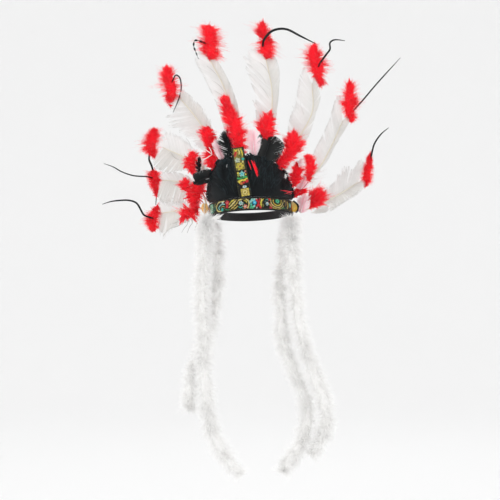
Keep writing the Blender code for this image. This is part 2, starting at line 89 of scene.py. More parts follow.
# name, root (deg, out, z) of the stem, knee of the stem, depth at foot and top, edges, then the
# share of the spine that strands leave from, thickness against width, clump and length spread
PLUMES = (
    ("red_plume_1", (-106, 5, -6), (-98, 18, -14), (24, 40),
     ((198, 205), (190, 205), (183, 206.5), (176.3, 210), (179, 215), (180.5, 222.5)),
     ((198, 205), (200.5, 212), (198, 223.5), (193.5, 217.5), (187, 219.5), (180.5, 222.5)),
     (0.1, 0.7), 0.8, 30, 0.30, 1700),
    ("red_plume_2", (-88, 6, 4), (-88, 2, 12), (20, -8),
     ((192, 209), (187, 203), (184.8, 196), (185.6, 190), (190, 184.5), (198, 182)),
     ((192, 209), (199.5, 206), (203, 197), (208, 188), (207.8, 183.5), (198, 182)),
     (0.2, 0.8), 0.7, 26, 0.20, 2300),
    ("red_plume_3", (-94, 1, 16), (-100, 16, 40), (30, 42),
     ((189, 191), (181, 189), (175.8, 184.5), (181, 181.5), (183, 178.5), (186, 177)),
     ((189, 191), (193, 186), (192, 181), (188.5, 180), (186, 177)),
     (0.0, 0.6), 0.8, 30, 0.35, 800),
    ("red_plume_4", (-79, 1, 16), (-86, -10, 34), (-20, -18),
     ((192.5, 175), (187, 170.5), (181.5, 166), (182.6, 162), (180.8, 159), (184.5, 156.5), (188.5, 151.5), (193, 151)),
     ((192.5, 175), (197.5, 172), (199, 164), (200.2, 157), (197.5, 153), (193, 151)),
     (0.25, 0.7), 0.8, 24, 0.24, 1500),
    ("red_plume_5", (-55, -2.5, 50), (-60, -42, 76), (-54, -50),
     ((210, 149), (204.5, 146.5), (200, 140.5), (196.8, 133), (198, 128), (201.3, 124.8), (204.5, 130), (207.8, 132.5)),
     ((210, 149), (214, 145), (216.6, 139), (216, 133.5), (213.2, 130), (210.5, 132), (207.8, 132.5)),
     (0.0, 0.8), 0.6, 30, 0.12, 1500),
    ("red_plume_6", (-48, -2.5, 62), (-56, -55, 86), (-60, -55),
     ((212, 168), (204, 166.5), (201.2, 161), (202.3, 153), (206, 148.5), (209, 147)),
     ((212, 168), (217.5, 166), (221.3, 161), (217, 153.5), (213, 148.5), (209, 147)),
     (0.1, 0.9), 0.35, 22, 0.05, 1300),
    ("red_plume_7", (-9, -2.5, 60), (-15, -82, 80), (-88, -83),
     ((238, 156), (232.3, 147), (229.5, 138), (224.5, 126.5), (221.2, 115), (219.6, 104), (220.4, 97), (224, 95)),
     ((238, 156), (246.3, 153), (247.4, 140), (247.2, 128), (243.6, 119), (237.6, 110.5), (231.5, 102), (228.3, 95.5), (224, 95)),
     (0.0, 0.86), 0.5, 20, 0.10, 3300),
    ("red_plume_8", (11, -1.8, 62), (20, -80, 90), (-85, -79),
     ((266, 137), (259.5, 132.5), (256, 128), (254.2, 124), (259, 119), (261.5, 112), (266, 115.5), (270.8, 110.5)),
     ((266, 137), (277.5, 134.5), (275.7, 129), (276.6, 122.5), (273.8, 116), (272, 111), (270.8, 110.5)),
     (0.0, 0.7), 0.6, 26, 0.16, 2000),
    ("red_plume_9", (36, -2.5, 66), (46, -58, 72), (-69, -47),
     ((276.5, 168), (272.6, 161), (278, 154), (284, 146), (283.2, 138), (288, 133.5), (293.8, 129.5)),
     ((276.5, 168), (284, 170.5), (291.3, 163.5), (298.3, 155), (304.8, 145), (303.4, 139.5), (299, 133.8), (293.8, 129.5)),
     (0.0, 0.8), 0.6, 24, 0.14, 2900),
    ("red_plume_10", (62, -2.5, 45), (72, -40, 46), (-49, -43),
     ((294.5, 185.5), (289.6, 182.5), (287.6, 176.5), (289.6, 170), (292.6, 165), (297, 161)),
     ((294.5, 185.5), (301, 182), (305.6, 174.5), (304.6, 167), (301.6, 162.6), (297, 161)),
     (0.0, 0.8), 0.4, 22, 0.08, 1300),
    ("red_plume_11", (76, 2, 16), (92, -38, 34), (-49, -46),
     ((309, 180.5), (304, 174), (303.4, 166), (302.4, 158), (306.5, 154.5)),
     ((309, 180.5), (313.2, 176), (316.5, 170), (317.8, 163), (313, 154.8), (306.5, 154.5)),
     (0.0, 0.75), 0.7, 26, 0.18, 1400),
    ("red_plume_12", (81, 1, 16), (78, -18, 17), (-20, -12),
     ((290.5, 196), (291.5, 191), (297, 188), (303, 186.5)),
     ((290.5, 196), (296, 198), (303, 195), (309, 192.5), (308.8, 189), (303, 186.5)),
     (0.0, 0.7), 0.7, 24, 0.16, 1100),
    ("red_plume_13", (95, 5, 3), (101, 0, 7), (5, 16),
     ((309.5, 204), (308.6, 197), (309.5, 188.8), (314, 189.5), (318.5, 188)),
     ((309.5, 204), (311, 209.5), (317.5, 207.8), (325.7, 203.2), (329, 197.5), (326.3, 191.3), (318.5, 188)),
     (-0.1, 0.35), 0.6, 30, 0.14, 2300),
)
# name, shares of the shaft that carry barbs, edges of both sides from the foot to the tip
WHITE_EDGES = {
    "white_feather_1": (0.34, 0.97, ((186, 203), (178, 199), (168, 197.5), (161, 199.5), (157, 207)),
                        ((196, 221), (186, 223.5), (173, 228.5), (163, 235), (157, 227))),
    "white_feather_2": (0.30, 0.97, ((190, 177), (180, 173.5), (170, 172), (163, 172.5), (157, 178)),
                        ((194, 200), (184, 202), (174, 203), (164, 201.5), (157, 193))),
    "white_feather_3": (0.36, 0.97, ((198, 153), (187, 142), (176, 135.5), (167, 133.5), (158, 140)),
                        ((198, 172), (188, 170), (176, 170.5), (162, 172), (155, 167), (155, 158))),
    "white_feather_4": (0.34, 0.985, ((206, 151), (198, 147.5), (189, 138), (181, 130), (171.8, 122.5), (171.5, 111), (174.5, 100), (177, 93)),
                        ((217, 138), (212, 127), (206, 115.5), (197, 104), (187, 94), (179, 89))),
    "white_feather_5": (0.30, 0.99, ((226, 136), (219.8, 113), (212.5, 95), (204.5, 77), (195.8, 60), (197, 53), (203, 49)),
                        ((239, 117), (236, 100), (230, 84), (222.5, 69), (215.5, 58), (208, 50))),
    "white_feather_6": (0.30, 0.99, ((258, 127), (256, 108), (253.3, 90), (250.8, 72), (248, 52.5), (254, 49), (260, 47)),
                        ((274.5, 127), (277.5, 104), (279, 88), (278.9, 71), (276.5, 61), (270, 50))),
    "white_feather_7": (0.30, 0.99, ((287, 150), (287.5, 133), (289.3, 118), (295.3, 104), (298.2, 90), (300.5, 76), (305, 66)),
                        ((299, 151), (307.5, 137), (315.8, 113), (320.3, 96), (317.5, 85), (314, 74))),
    "white_feather_8": (0.30, 0.99, ((308, 167), (314, 150.5), (322, 135), (330, 117), (337, 98.5), (342, 97)),
                        ((319.5, 170), (327.5, 160.7), (333.5, 149), (342.5, 134), (349, 122), (350, 112))),
    "white_feather_9": (0.36, 0.97, ((318, 199), (326, 190), (334, 182), (342, 173.5), (354, 167.5), (362, 161.5), (367, 165)),
                        ((311, 213.5), (321, 213.5), (334, 209), (347, 200.5), (359, 193), (365, 185), (369, 176))),
}
FILAMENTS = (
    ("filament_1", ((-180, 132, -17), (-189, 124, -14), (-196, 124, -11), (-210, 126, 11),
                    (-223, 127, 16), (-241, 128, 16), (-257, 128, 14), (-273, 128, 9))),
    ("filament_2", ((-180, 124, 57), (-190, 115, 59), (-215, 116, 61), (-236, 116, 68),
                    (-252, 116, 77), (-269, 115, 83))),
    ("filament_3", ((-183, 100, 104), (-186, 112, 91), (-182, 124, 79), (-179, 146, 62),
                    (-175, 150, 36), (-176, 148, 8))),
    ("filament_4", ((-143, 22, 214), (-137, 11, 224), (-132, 7, 232), (-126, 10, 229),
                    (-123, 18, 217), (-124, 23, 204), (-128, 8, 187), (-136, -7, 165))),
    ("filament_5", ((-76, -46, 279), (-84, -60, 281), (-96, -60, 283), (-98, -59, 274),
                    (-95, -58, 265), (-90, -57, 252))),
    ("filament_6", ((20, -44, 272), (22, -58, 284), (34, -61, 298), (48, -60, 303),
                    (62, -60, 302), (84, -60, 291), (110, -60, 278))),
    ("filament_7", ((117, 12, 245), (121, -1, 252), (131, -4, 266), (138, -4, 276),
                    (138, -4, 287), (145, -4, 292), (164, -4, 291))),
    ("filament_8", ((178, 56, 168), (184, 46, 175), (196, 39, 188), (224, 39, 221),
                    (265, 38, 266))),
    ("filament_9", ((214, 126, 74), (217, 118, 87), (220, 112, 99), (225, 112, 118),
                    (237, 112, 136), (251, 110, 148))),
)
BOAS = (
    ("boa_left_front", ((-77, -40, -18), (-77, -44, -49), (-81, -49, -96), (-84, -54, -144),
                        (-84, -58, -191), (-80, -60, -229), (-80, -60, -273),
                        (-77, -58, -318), (-74, -57, -352), (-67, -57, -383),
                        (-51, -59, -417), (-32, -64, -442), (-15, -70, -458))),
    ("boa_left_rear", ((-70, -2, -23), (-65, -7, -58), (-60, -12, -96), (-61, -18, -144),
                       (-68, -24, -189), (-80, -27, -231), (-95, -30, -269),
                       (-104, -34, -306), (-108, -37, -353))),
    ("boa_right_outer", ((69, -42, -20), (70, -46, -61), (73, -50, -109), (77, -54, -161),
                         (82, -57, -198), (91, -60, -237), (102, -62, -273),
                         (116, -64, -307), (126, -65, -338), (128, -66, -368),
                         (119, -66, -399), (101, -64, -425))),
    ("boa_right_inner", ((72, 14, -26), (65, 8, -61), (56, -2, -96), (51, -12, -134),
                         (52, -20, -172), (54, -27, -214), (60, -31, -251), (73, -34, -282),
                         (88, -36, -315), (97, -38, -347), (95, -42, -381), (81, -50, -413),
                         (65, -58, -436), (53, -66, -454))),
)

# ================================================================ curves and the hollow's oval
def leaning(roll, pitch):
    return np.array(Matrix.Rotation(math.radians(-roll), 3, 'Y')
                    @ Matrix.Rotation(math.radians(-pitch), 3, 'X'))


TILT = leaning(ROLL, PITCH)
CREST_UP = leaning(CREST_ROLL, CREST_PITCH)[:, 2]


def oval(deg, out, z):
    """Places on the tilted band; over its top edge things stand upright (arrays welcome)."""
    a = np.radians(np.asarray(deg, float))
    out, z = np.asarray(out, float), np.asarray(z, float)
    n = np.stack([np.sin(a) / HEAD_A, -np.cos(a) / HEAD_B], -1)
    n /= np.linalg.norm(n, axis=-1, keepdims=True)
    x = HEAD_A * np.sin(a) + n[..., 0] * out
    y = -HEAD_B * np.cos(a) + n[..., 1] * out
    top = BAND_HEIGHT / 2 + 0.3
    over = np.maximum(z - top, 0.0) + 0 * x
    worn = np.stack([x, y, np.minimum(z, top) + 0 * x], -1) @ TILT.T
    return worn - np.array([0, 0, DROP]) + over[..., None] * CREST_UP


def catmull(points, count):
    pts = [np.asarray(p, float) for p in points]
    pts = [pts[0] * 2 - pts[1]] + pts + [pts[-1] * 2 - pts[-2]]
    dense = []
    for i in range(1, len(pts) - 2):
        p0, p1, p2, p3 = pts[i - 1:i + 3]
        t1 = max(np.linalg.norm(p1 - p0), 1e-6) ** 0.5
        t2 = t1 + max(np.linalg.norm(p2 - p1), 1e-6) ** 0.5
        t3 = t2 + max(np.linalg.norm(p3 - p2), 1e-6) ** 0.5
        for k in range(24):
            t = t1 + (t2 - t1) * k / 24
            a1 = p0 * ((t1 - t) / t1) + p1 * (t / t1)
            a2 = p1 * ((t2 - t) / (t2 - t1)) + p2 * ((t - t1) / (t2 - t1))
            a3 = p2 * ((t3 - t) / (t3 - t2)) + p3 * ((t - t2) / (t3 - t2))
            b1 = a1 * ((t2 - t) / t2) + a2 * (t / t2)
            b2 = a2 * ((t3 - t) / (t3 - t1)) + a3 * ((t - t1) / (t3 - t1))
            dense.append(b1 * ((t2 - t) / (t2 - t1)) + b2 * ((t - t1) / (t2 - t1)))
    dense.append(pts[-2])
    dense = np.array(dense)
    run = np.concatenate([[0], np.cumsum(np.linalg.norm(np.diff(dense, axis=0), axis=1))])
    want = np.linspace(0, run[-1], count)
    return np.stack([np.interp(want, run, dense[:, i]) for i in range(3)], 1)


def unit(v):
    return v / np.maximum(np.linalg.norm(v, axis=-1, keepdims=True), 1e-9)


class Line:
    """A smooth path with its tangent, side (in the frontal plane) and face at any share."""

    def __init__(self, points, count=80):
        self.p = catmull(points, count)
        self.t = unit(np.gradient(self.p, axis=0))
        self.side = unit(np.cross(self.t, np.array([0.0, 1.0, 0.0])))
        self.face = unit(np.cross(self.side, self.t))
        self.length = float(np.linalg.norm(np.diff(self.p, axis=0), axis=1).sum())

    def at(self, s):
        """Place, tangent, side and face; past the ends it runs straight on."""
        s = np.asarray(s, float)
        x = np.clip(s, 0, 1) * (len(self.p) - 1)
        i = np.minimum(x.astype(int), len(self.p) - 2)
        f = (x - i)[..., None]
        p, t, a, b = (v[i] * (1 - f) + v[i + 1] * f for v in (self.p, self.t, self.side, self.face))
        t, a, b = unit(t), unit(a), unit(b)
        return p + t * ((s - np.clip(s, 0, 1)) * self.length)[..., None], t, a, b


def curve_of(table, x):
    """Smooth reading of (place, value) rows."""
    xs, vs = np.array([r[0] for r in table], float), np.array([r[1] for r in table], float)
    x = np.clip(np.asarray(x, float), xs[0], xs[-1])
    i = np.clip(np.searchsorted(xs, x, side="right") - 1, 0, len(xs) - 2)
    f = (x - xs[i]) / (xs[i + 1] - xs[i])
    f = f * f * (3 - 2 * f)
    return vs[i] * (1 - f) + vs[i + 1] * f


def random_units(rng, n):
    return unit(rng.normal(size=(n, 3)))


NEAR = np.array([0.0, -1.0, 0.0])     # toward the viewer of the front view


def front(points, depth, count=60):
    """Front-view places at the given depths (one, two or many values) as even mm points."""
    flat = catmull([(u, v, 0) for u, v in points], count)
    depth = np.atleast_1d(np.asarray(depth, float))
    y = np.interp(np.linspace(0, 1, count), np.linspace(0, 1, len(depth)), depth) if len(depth) > 1 \
        else np.full(count, depth[0])
    k = 1.75 * (1 + y / 2600)
    return np.stack([(flat[:, 0] - 251) * k, y, -75 + (250 - flat[:, 1]) * k], 1)


def reading(rows, share):
    """Rows (m, 3) read at shares 0 to 1."""
    x = np.clip(np.asarray(share, float), 0, 1) * (len(rows) - 1)
    i = np.minimum(x.astype(int), len(rows) - 2)
    f = (x - i)[..., None]
    return rows[i] * (1 - f) + rows[i + 1] * f


# ================================================================ meshes from arrays
class Build:
    """Gathers strips, tubes and grids (in mm) into one mesh with a 'strand' colour:
    red is a strand's own random value, green runs along it, blue is its place."""

    def __init__(self):
        self.v, self.q, self.c, self.m, self.n = [], [], [], [], 0

    def add(self, verts, quads, colours, material=0):
        self.v.append(np.asarray(verts, np.float32).reshape(-1, 3))
        self.q.append(np.asarray(quads, np.int64).reshape(-1, 4) + self.n)
        self.c.append(np.asarray(colours, np.float32).reshape(-1, 4))
        self.m.append(np.full(len(self.q[-1]), material, np.int32))
        self.n += len(self.v[-1])

    def strips(self, p, side, half, rnd, place, material=0):
        """p (n, k, 3), side (n, k, 3) or (n, 1, 3), half widths (n, k) or (k,)."""
        n, k = p.shape[:2]
        w = np.broadcast_to(half, (n, k))[..., None]
        side = np.broadcast_to(side, p.shape)
        verts = np.stack([p - side * w, p + side * w], 2)
        col = np.ones((n, k, 2, 4))
        col[..., 0] = np.broadcast_to(np.asarray(rnd, float).reshape(n, 1, 1), (n, k, 2))
        col[..., 1] = np.linspace(0, 1, k)[None, :, None]
        col[..., 2] = np.broadcast_to(np.asarray(place, float).reshape(n, -1, 1), (n, k, 2))
        base = (np.arange(n)[:, None] * k + np.arange(k - 1)[None, :]) * 2
        quads = np.stack([base, base + 1, base + 3, base + 2], -1)
        self.add(verts, quads, col, material)

    def grid(self, p, colours, material=0, wrap_u=False, wrap_v=False):
        """p (nu, nv, 3) becomes quads; a wrap joins the last row to the first."""
        nu, nv = p.shape[:2]
        iu = np.arange(nu if wrap_u else nu - 1)
        iv = np.arange(nv if wrap_v else nv - 1)
        u, v = np.meshgrid(iu, iv, indexing="ij")
        u2, v2 = (u + 1) % nu, (v + 1) % nv
        quads = np.stack([u * nv + v, u2 * nv + v, u2 * nv + v2, u * nv + v2], -1)
        self.add(p, quads, np.broadcast_to(colours, (nu, nv, 4)), material)

    def tube(self, line, radii, sides=7, material=0, place=0.0, flat=1.0, lift=0.0, twist=0.0):
        """A closed tapered tube along a Line (radii in mm at even shares)."""
        k = len(radii)
        s = np.linspace(0, 1, k)
        c, t, a, b = line.at(s)
        c = c + NEAR * lift
        turn = (twist * s)[:, None]
        a, b = a * np.cos(turn) + b * np.sin(turn), b * np.cos(turn) - a * np.sin(turn)
        ang = np.linspace(0, 2 * np.pi, sides, endpoint=False)
        r = np.asarray(radii, float)[:, None, None]
        ring = (a[:, None] * np.cos(ang)[None, :, None]
                + b[:, None] * np.sin(ang)[None, :, None] * flat)
        p = c[:, None] + ring * r
        p = np.concatenate([np.repeat(c[:1, None], sides, 1), p, np.repeat(c[-1:, None], sides, 1)])
        col = np.ones((k + 2, sides, 4))
        col[..., 0] = 0.5
        col[..., 1] = np.concatenate([[0], s, [1]])[:, None]
        col[..., 2] = place
        self.grid(p, col, material, wrap_v=True)

    def finish(self, name, materials, nodes=(), smooth=True, body="root"):
        v = np.concatenate(self.v) * MM
        q = np.concatenate(self.q)
        c = np.concatenate(self.c)
        m = np.concatenate(self.m)
        me = bpy.data.meshes.new(name)
        me.vertices.add(len(v))
        me.vertices.foreach_set("co", v.astype(np.float32).ravel())
        me.loops.add(q.size)
        me.loops.foreach_set("vertex_index", q.astype(np.int32).ravel())
        me.polygons.add(len(q))
        me.polygons.foreach_set("loop_start", np.arange(0, q.size, 4, dtype=np.int32))
        me.polygons.foreach_set("material_index", m)
        me.polygons.foreach_set("use_smooth", np.full(len(q), smooth))
        att = me.color_attributes.new("strand", 'FLOAT_COLOR', 'POINT')
        att.data.foreach_set("color", c.astype(np.float32).ravel())
        me.update(calc_edges=True)
        me.validate()
        for mat in materials:
            me.materials.append(mat)
        obj = bpy.data.objects.new(name, me)
        bpy.context.scene.collection.objects.link(obj)
        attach(obj, body)
        if nodes:
            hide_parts(*nodes)
        return obj


# ================================================================ materials
def new_material(name, roughness=0.6, metallic=0.0, sheen=0.0, specular=0.5):
    mat = bpy.data.materials.new(name)
    mat.use_nodes = True
    nt = mat.node_tree
    bsdf = nt.nodes["Principled BSDF"]
    bsdf.inputs["Roughness"].default_value = roughness
    bsdf.inputs["Metallic"].default_value = metallic
    bsdf.inputs["Sheen Weight"].default_value = sheen
    bsdf.inputs["Specular IOR Level"].default_value = specular
    return mat, nt, bsdf


def strand_values(nt):
    att = nt.nodes.new("ShaderNodeAttribute")
    att.attribute_name = "strand"
    sep = nt.nodes.new("ShaderNodeSeparateColor")
    nt.links.new(att.outputs["Color"], sep.inputs["Color"])
    return att, sep.outputs["Red"], sep.outputs["Green"], sep.outputs["Blue"]


def ramp(nt, value, stops, mode='LINEAR'):
    node = nt.nodes.new("ShaderNodeValToRGB")
    node.color_ramp.interpolation = mode
    els = node.color_ramp.elements
    while len(els) < len(stops):
        els.new(0.5)
    for e, (pos, col) in zip(els, stops):
        e.position = pos
        e.color = (*col, 1.0)
    nt.links.new(value, node.inputs["Fac"])
    return node.outputs["Color"]


def mix(nt, fac, a, b, blend='MIX'):
    node = nt.nodes.new("ShaderNodeMix")
    node.data_type = 'RGBA'
    node.blend_type = blend
    fac_in = node.inputs[0]
    a_in, b_in = node.inputs[6], node.inputs[7]
    for sock, val in ((fac_in, fac), (a_in, a), (b_in, b)):
        if isinstance(val, bpy.types.NodeSocket):
            nt.links.new(val, sock)
        elif isinstance(val, (int, float)):
            sock.default_value = val if sock is fac_in else (val, val, val, 1.0)
        else:
            sock.default_value = (*val, 1.0)
    return node.outputs[2]


def math_node(nt, op, a, b=0.0, c=0.0):
    node = nt.nodes.new("ShaderNodeMath")
    node.operation = op
    for sock, val in zip(node.inputs, (a, b, c)):
        if isinstance(val, bpy.types.NodeSocket):
            nt.links.new(val, sock)
        else:
            sock.default_value = val
    return node.outputs[0]


def noise(nt, scale, detail=3.0, rough=0.5, vector=None):
    node = nt.nodes.new("ShaderNodeTexNoise")
    node.inputs["Scale"].default_value = scale
    node.inputs["Detail"].default_value = detail
    node.inputs["Roughness"].default_value = rough
    if vector is None:
        vector = nt.nodes.new("ShaderNodeTexCoord").outputs["Object"]
    nt.links.new(vector, node.inputs["Vector"])
    return node.outputs["Fac"]


def bump(nt, bsdf, height, strength, distance):
    node = nt.nodes.new("ShaderNodeBump")
    node.inputs["Strength"].default_value = strength
    node.inputs["Distance"].default_value = distance
    nt.links.new(height, node.inputs["Height"])
    nt.links.new(node.outputs["Normal"], bsdf.inputs["Normal"])
    return node


def down_material(name, stops, vary=0.25, roughness=0.85, sheen=0.25, patchy=0.2):
    """Down and barbs: colour runs along each strand and differs from strand to strand."""
    mat, nt, bsdf = new_material(name, roughness, sheen=sheen, specular=0.12)
    _, rnd, along, _ = strand_values(nt)
    col = ramp(nt, along, stops)
    patch = noise(nt, 90.0, 2.0)
    value = math_node(nt, 'MULTIPLY_ADD', rnd, vary, 1.0 - vary / 2)
    value = math_node(nt, 'MULTIPLY', value, math_node(nt, 'MULTIPLY_ADD', patch, patchy, 1.0 - patchy / 2))
    grey = nt.nodes.new("ShaderNodeCombineColor")
    for ch in ("Red", "Green", "Blue"):
        nt.links.new(value, grey.inputs[ch])
    nt.links.new(mix(nt, 1.0, col, grey.outputs["Color"], 'MULTIPLY'), bsdf.inputs["Base Color"])
    return mat


MATS = {}


def make_materials():
    MATS["red"] = down_material("red_down", (
        (0.0, (0.78, 0.006, 0.016)), (0.45, (0.93, 0.010, 0.026)), (0.85, (0.97, 0.018, 0.040)),
        (1.0, (0.98, 0.09, 0.12))), vary=0.36, patchy=0.3)
    MATS["white_down"] = down_material("white_down", (
        (0.0, (0.935, 0.93, 0.92)), (0.5, (0.95, 0.947, 0.94)), (1.0, (0.965, 0.963, 0.96))),
        vary=0.05, roughness=0.9, patchy=0.07)
    # the boas' inner body: the white down made darker, painted shade for the strands that would shadow it
    MATS["shaded_white_core"] = down_material("shaded_white_core", (
        (0.0, (0.86, 0.855, 0.845)), (1.0, (0.885, 0.88, 0.87))), vary=0.05, roughness=0.95, patchy=0.2)
    # white web: darker grey at the barb ends, painted shade along the vane's edges
    MATS["white_web"] = down_material("white_web", (
        (0.0, (0.80, 0.79, 0.77)), (0.25, (0.845, 0.84, 0.83)), (0.8, (0.855, 0.85, 0.843)),
        (1.0, (0.66, 0.655, 0.645))), vary=0.16, roughness=0.6, sheen=0.1, patchy=0.10)
    # the right vanes: a darker copy of the white web with a cream tint, painted shade on that side, darker still
    # towards the barb ends
    MATS["shaded_cream_web"] = down_material("shaded_cream_web", (
        (0.0, (0.74, 0.725, 0.69)), (0.3, (0.79, 0.78, 0.755)), (0.85, (0.75, 0.74, 0.715)),
        (1.0, (0.56, 0.55, 0.53))), vary=0.18, roughness=0.6, sheen=0.1, patchy=0.10)
    # grey for the curled split barbs: white barbs darkened as painted shade on their undersides
    MATS["shadowed_barb"] = down_material("shadowed_barb", (
        (0.0, (0.72, 0.70, 0.67)), (0.4, (0.50, 0.48, 0.46)), (1.0, (0.36, 0.34, 0.33))),
        vary=0.2, roughness=0.6)
    MATS["blush_web"] = down_material("blush_web", (
        (0.0, (0.90, 0.55, 0.60)), (0.4, (0.90, 0.78, 0.79)), (1.0, (0.90, 0.86, 0.86))),
        vary=0.2, roughness=0.6)
    MATS["red_stem"] = down_material("red_stem", (
        (0.0, (0.50, 0.03, 0.045)), (1.0, (0.62, 0.012, 0.022))), vary=0.1, roughness=0.5)
    MATS["cream_amber_web"] = down_material("cream_amber_web", (
        (0.0, (0.40, 0.16, 0.04)), (0.4, (0.84, 0.52, 0.22)), (1.0, (0.86, 0.42, 0.10))),
        vary=0.35, roughness=0.5)
    MATS["pink_web"] = down_material("pink_web", (
        (0.0, (0.93, 0.52, 0.59)), (0.35, (0.94, 0.68, 0.73)), (0.8, (0.94, 0.80, 0.83)),
        (1.0, (0.94, 0.88, 0.89))), vary=0.22, roughness=0.6, sheen=0.1, patchy=0.2)
    MATS["black_web"] = down_material("black_web", (
        (0.0, (0.008, 0.009, 0.010)), (0.5, (0.011, 0.014, 0.015)), (1.0, (0.015, 0.019, 0.020))),
        vary=0.6, roughness=0.36, sheen=0.0, patchy=0.5)
    # black_feather_3's web: a painted sheen, lighter partway along each barb and dark at its ends
    MATS["sheen_web"] = down_material("sheen_web", (
        (0.0, (0.007, 0.008, 0.009)), (0.45, (0.024, 0.026, 0.026)), (0.8, (0.015, 0.016, 0.017)),
        (1.0, (0.007, 0.008, 0.009))), vary=0.6, roughness=0.4, sheen=0.0, patchy=0.9)
    MATS["black_hackle"] = down_material("black_hackle", (
        (0.0, (0.003, 0.004, 0.005)), (0.5, (0.008, 0.012, 0.014)), (1.0, (0.017, 0.028, 0.032))),
        vary=1.3, roughness=0.5, sheen=0.03, patchy=0.9)

    # ivory shafts
    mat, nt, bsdf = new_material("ivory_shaft", 0.35, specular=0.5)
    _, rnd, along, _ = strand_values(nt)
    col = ramp(nt, along, ((0.0, (0.80, 0.76, 0.62)), (0.5, (0.84, 0.80, 0.68)), (1.0, (0.80, 0.74, 0.60))))
    nt.links.new(mix(nt, noise(nt, 220.0), col, (0.70, 0.64, 0.50)), bsdf.inputs["Base Color"])
    MATS["shaft"] = mat
    mat, nt, bsdf = new_material("pale_shaft", 0.35, specular=0.5)
    col = ramp(nt, noise(nt, 260.0), ((0.3, (0.88, 0.80, 0.80)), (0.7, (0.95, 0.90, 0.90))))
    nt.links.new(col, bsdf.inputs["Base Color"])
    MATS["pale_shaft"] = mat
    # pale grey for painted highlights: small tubes that stand for the glints on the black feathers
    mat, nt, bsdf = new_material("glint_highlight", 0.22, specular=0.8)
    col = ramp(nt, noise(nt, 260.0), ((0.3, (0.30, 0.31, 0.32)), (0.7, (0.62, 0.63, 0.64))))
    nt.links.new(col, bsdf.inputs["Base Color"])
    MATS["glint_highlight"] = mat
    mat, nt, bsdf = new_material("black_shaft", 0.42, specular=0.22)
    col = ramp(nt, noise(nt, 300.0), ((0.3, (0.004, 0.005, 0.006)), (0.7, (0.010, 0.012, 0.013))))
    nt.links.new(col, bsdf.inputs["Base Color"])
    MATS["black_shaft"] = mat

    # amber temple feathers, barred dark
    mat, nt, bsdf = new_material("amber_web", 0.5, specular=0.3)
    _, rnd, along, place = strand_values(nt)
    col = ramp(nt, place, ((0.0, (0.62, 0.50, 0.33)), (0.30, (0.74, 0.50, 0.14)),
                           (0.70, (0.78, 0.50, 0.05)), (0.86, (0.62, 0.34, 0.04)),
                           (0.93, (0.03, 0.02, 0.015)), (1.0, (0.02, 0.015, 0.01))))
    col = mix(nt, math_node(nt, 'MULTIPLY', rnd, 0.5), col, (0.35, 0.17, 0.04))
    nt.links.new(col, bsdf.inputs["Base Color"])
    MATS["amber_web"] = mat

    # woven black band
    mat, nt, bsdf = new_material("band_cloth", 0.8, sheen=0.05, specular=0.2)
    _, rnd, along, place = strand_values(nt)
    warp = math_node(nt, 'SINE', math_node(nt, 'MULTIPLY', along, 900.0))
    weft = math_node(nt, 'SINE', math_node(nt, 'MULTIPLY', place, 130.0))
    weave = math_node(nt, 'MULTIPLY', warp, weft)
    col = ramp(nt, math_node(nt, 'MULTIPLY_ADD', weave, 0.5, 0.5),
               ((0.0, (0.006, 0.006, 0.007)), (1.0, (0.022, 0.023, 0.025))))
    nt.links.new(col, bsdf.inputs["Base Color"])
    bump(nt, bsdf, weave, 0.6, 0.0003)
    MATS["band"] = mat

    # ribbed elastic
    mat, nt, bsdf = new_material("elastic", 0.8, sheen=0.2, specular=0.2)
    _, rnd, along, place = strand_values(nt)
    rib = math_node(nt, 'SINE', math_node(nt, 'MULTIPLY', place, 2 * math.pi * 9))
    cross = math_node(nt, 'SINE', math_node(nt, 'MULTIPLY', along, 1500.0))
    height = math_node(nt, 'ADD', rib, math_node(nt, 'MULTIPLY', cross, 0.35))
    col = ramp(nt, math_node(nt, 'MULTIPLY_ADD', height, 0.36, 0.5),
               ((0.0, (0.006, 0.006, 0.007)), (1.0, (0.030, 0.030, 0.032))))
    nt.links.new(col, bsdf.inputs["Base Color"])
    bump(nt, bsdf, height, 0.7, 0.0004)
    MATS["elastic"] = mat

    # felt
    mat, nt, bsdf = new_material("felt", 0.92, sheen=0.3, specular=0.1)
    n1, n2 = noise(nt, 900.0, 4.0, 0.7), noise(nt, 120.0, 3.0)
    col = ramp(nt, n1, ((0.3, (0.006, 0.008, 0.010)), (0.75, (0.022, 0.027, 0.030))))
    nt.links.new(mix(nt, n2, col, (0.010, 0.013, 0.015)), bsdf.inputs["Base Color"])
    bump(nt, bsdf, n1, 0.8, 0.0006)
    MATS["felt"] = mat

    # brocade ribbon: the motif colours ride on the mesh, the threads are woven here
    mat, nt, bsdf = new_material("brocade", 0.5, sheen=0.0, specular=0.25)
    motif = nt.nodes.new("ShaderNodeAttribute")
    motif.attribute_name = "motif"
    att = nt.nodes.new("ShaderNodeAttribute")
    att.attribute_name = "strand"
    sep = nt.nodes.new("ShaderNodeSeparateColor")
    nt.links.new(att.outputs["Color"], sep.inputs["Color"])
    u, v = sep.outputs["Green"], sep.outputs["Blue"]
    warp = math_node(nt, 'SINE', math_node(nt, 'MULTIPLY', u, 2 * math.pi * 400))
    weft = math_node(nt, 'SINE', math_node(nt, 'MULTIPLY', v, 2 * math.pi * 34))
    twill = math_node(nt, 'SINE', math_node(nt, 'MULTIPLY', math_node(
        nt, 'ADD', math_node(nt, 'MULTIPLY', u, 400.0), math_node(nt, 'MULTIPLY', v, 34.0)), 2 * math.pi * 0.5))
    weave = math_node(nt, 'ADD', math_node(nt, 'MULTIPLY', warp, weft), math_node(nt, 'MULTIPLY', twill, 0.5))
    shade = math_node(nt, 'MULTIPLY_ADD', weave, 0.20, 0.86)
    grey = nt.nodes.new("ShaderNodeCombineColor")
    for ch in ("Red", "Green", "Blue"):
        nt.links.new(shade, grey.inputs[ch])
    nt.links.new(mix(nt, 1.0, motif.outputs["Color"], grey.outputs["Color"], 'MULTIPLY'),
                 bsdf.inputs["Base Color"])
    bump(nt, bsdf, weave, 0.5, 0.00025)
    MATS["brocade"] = mat


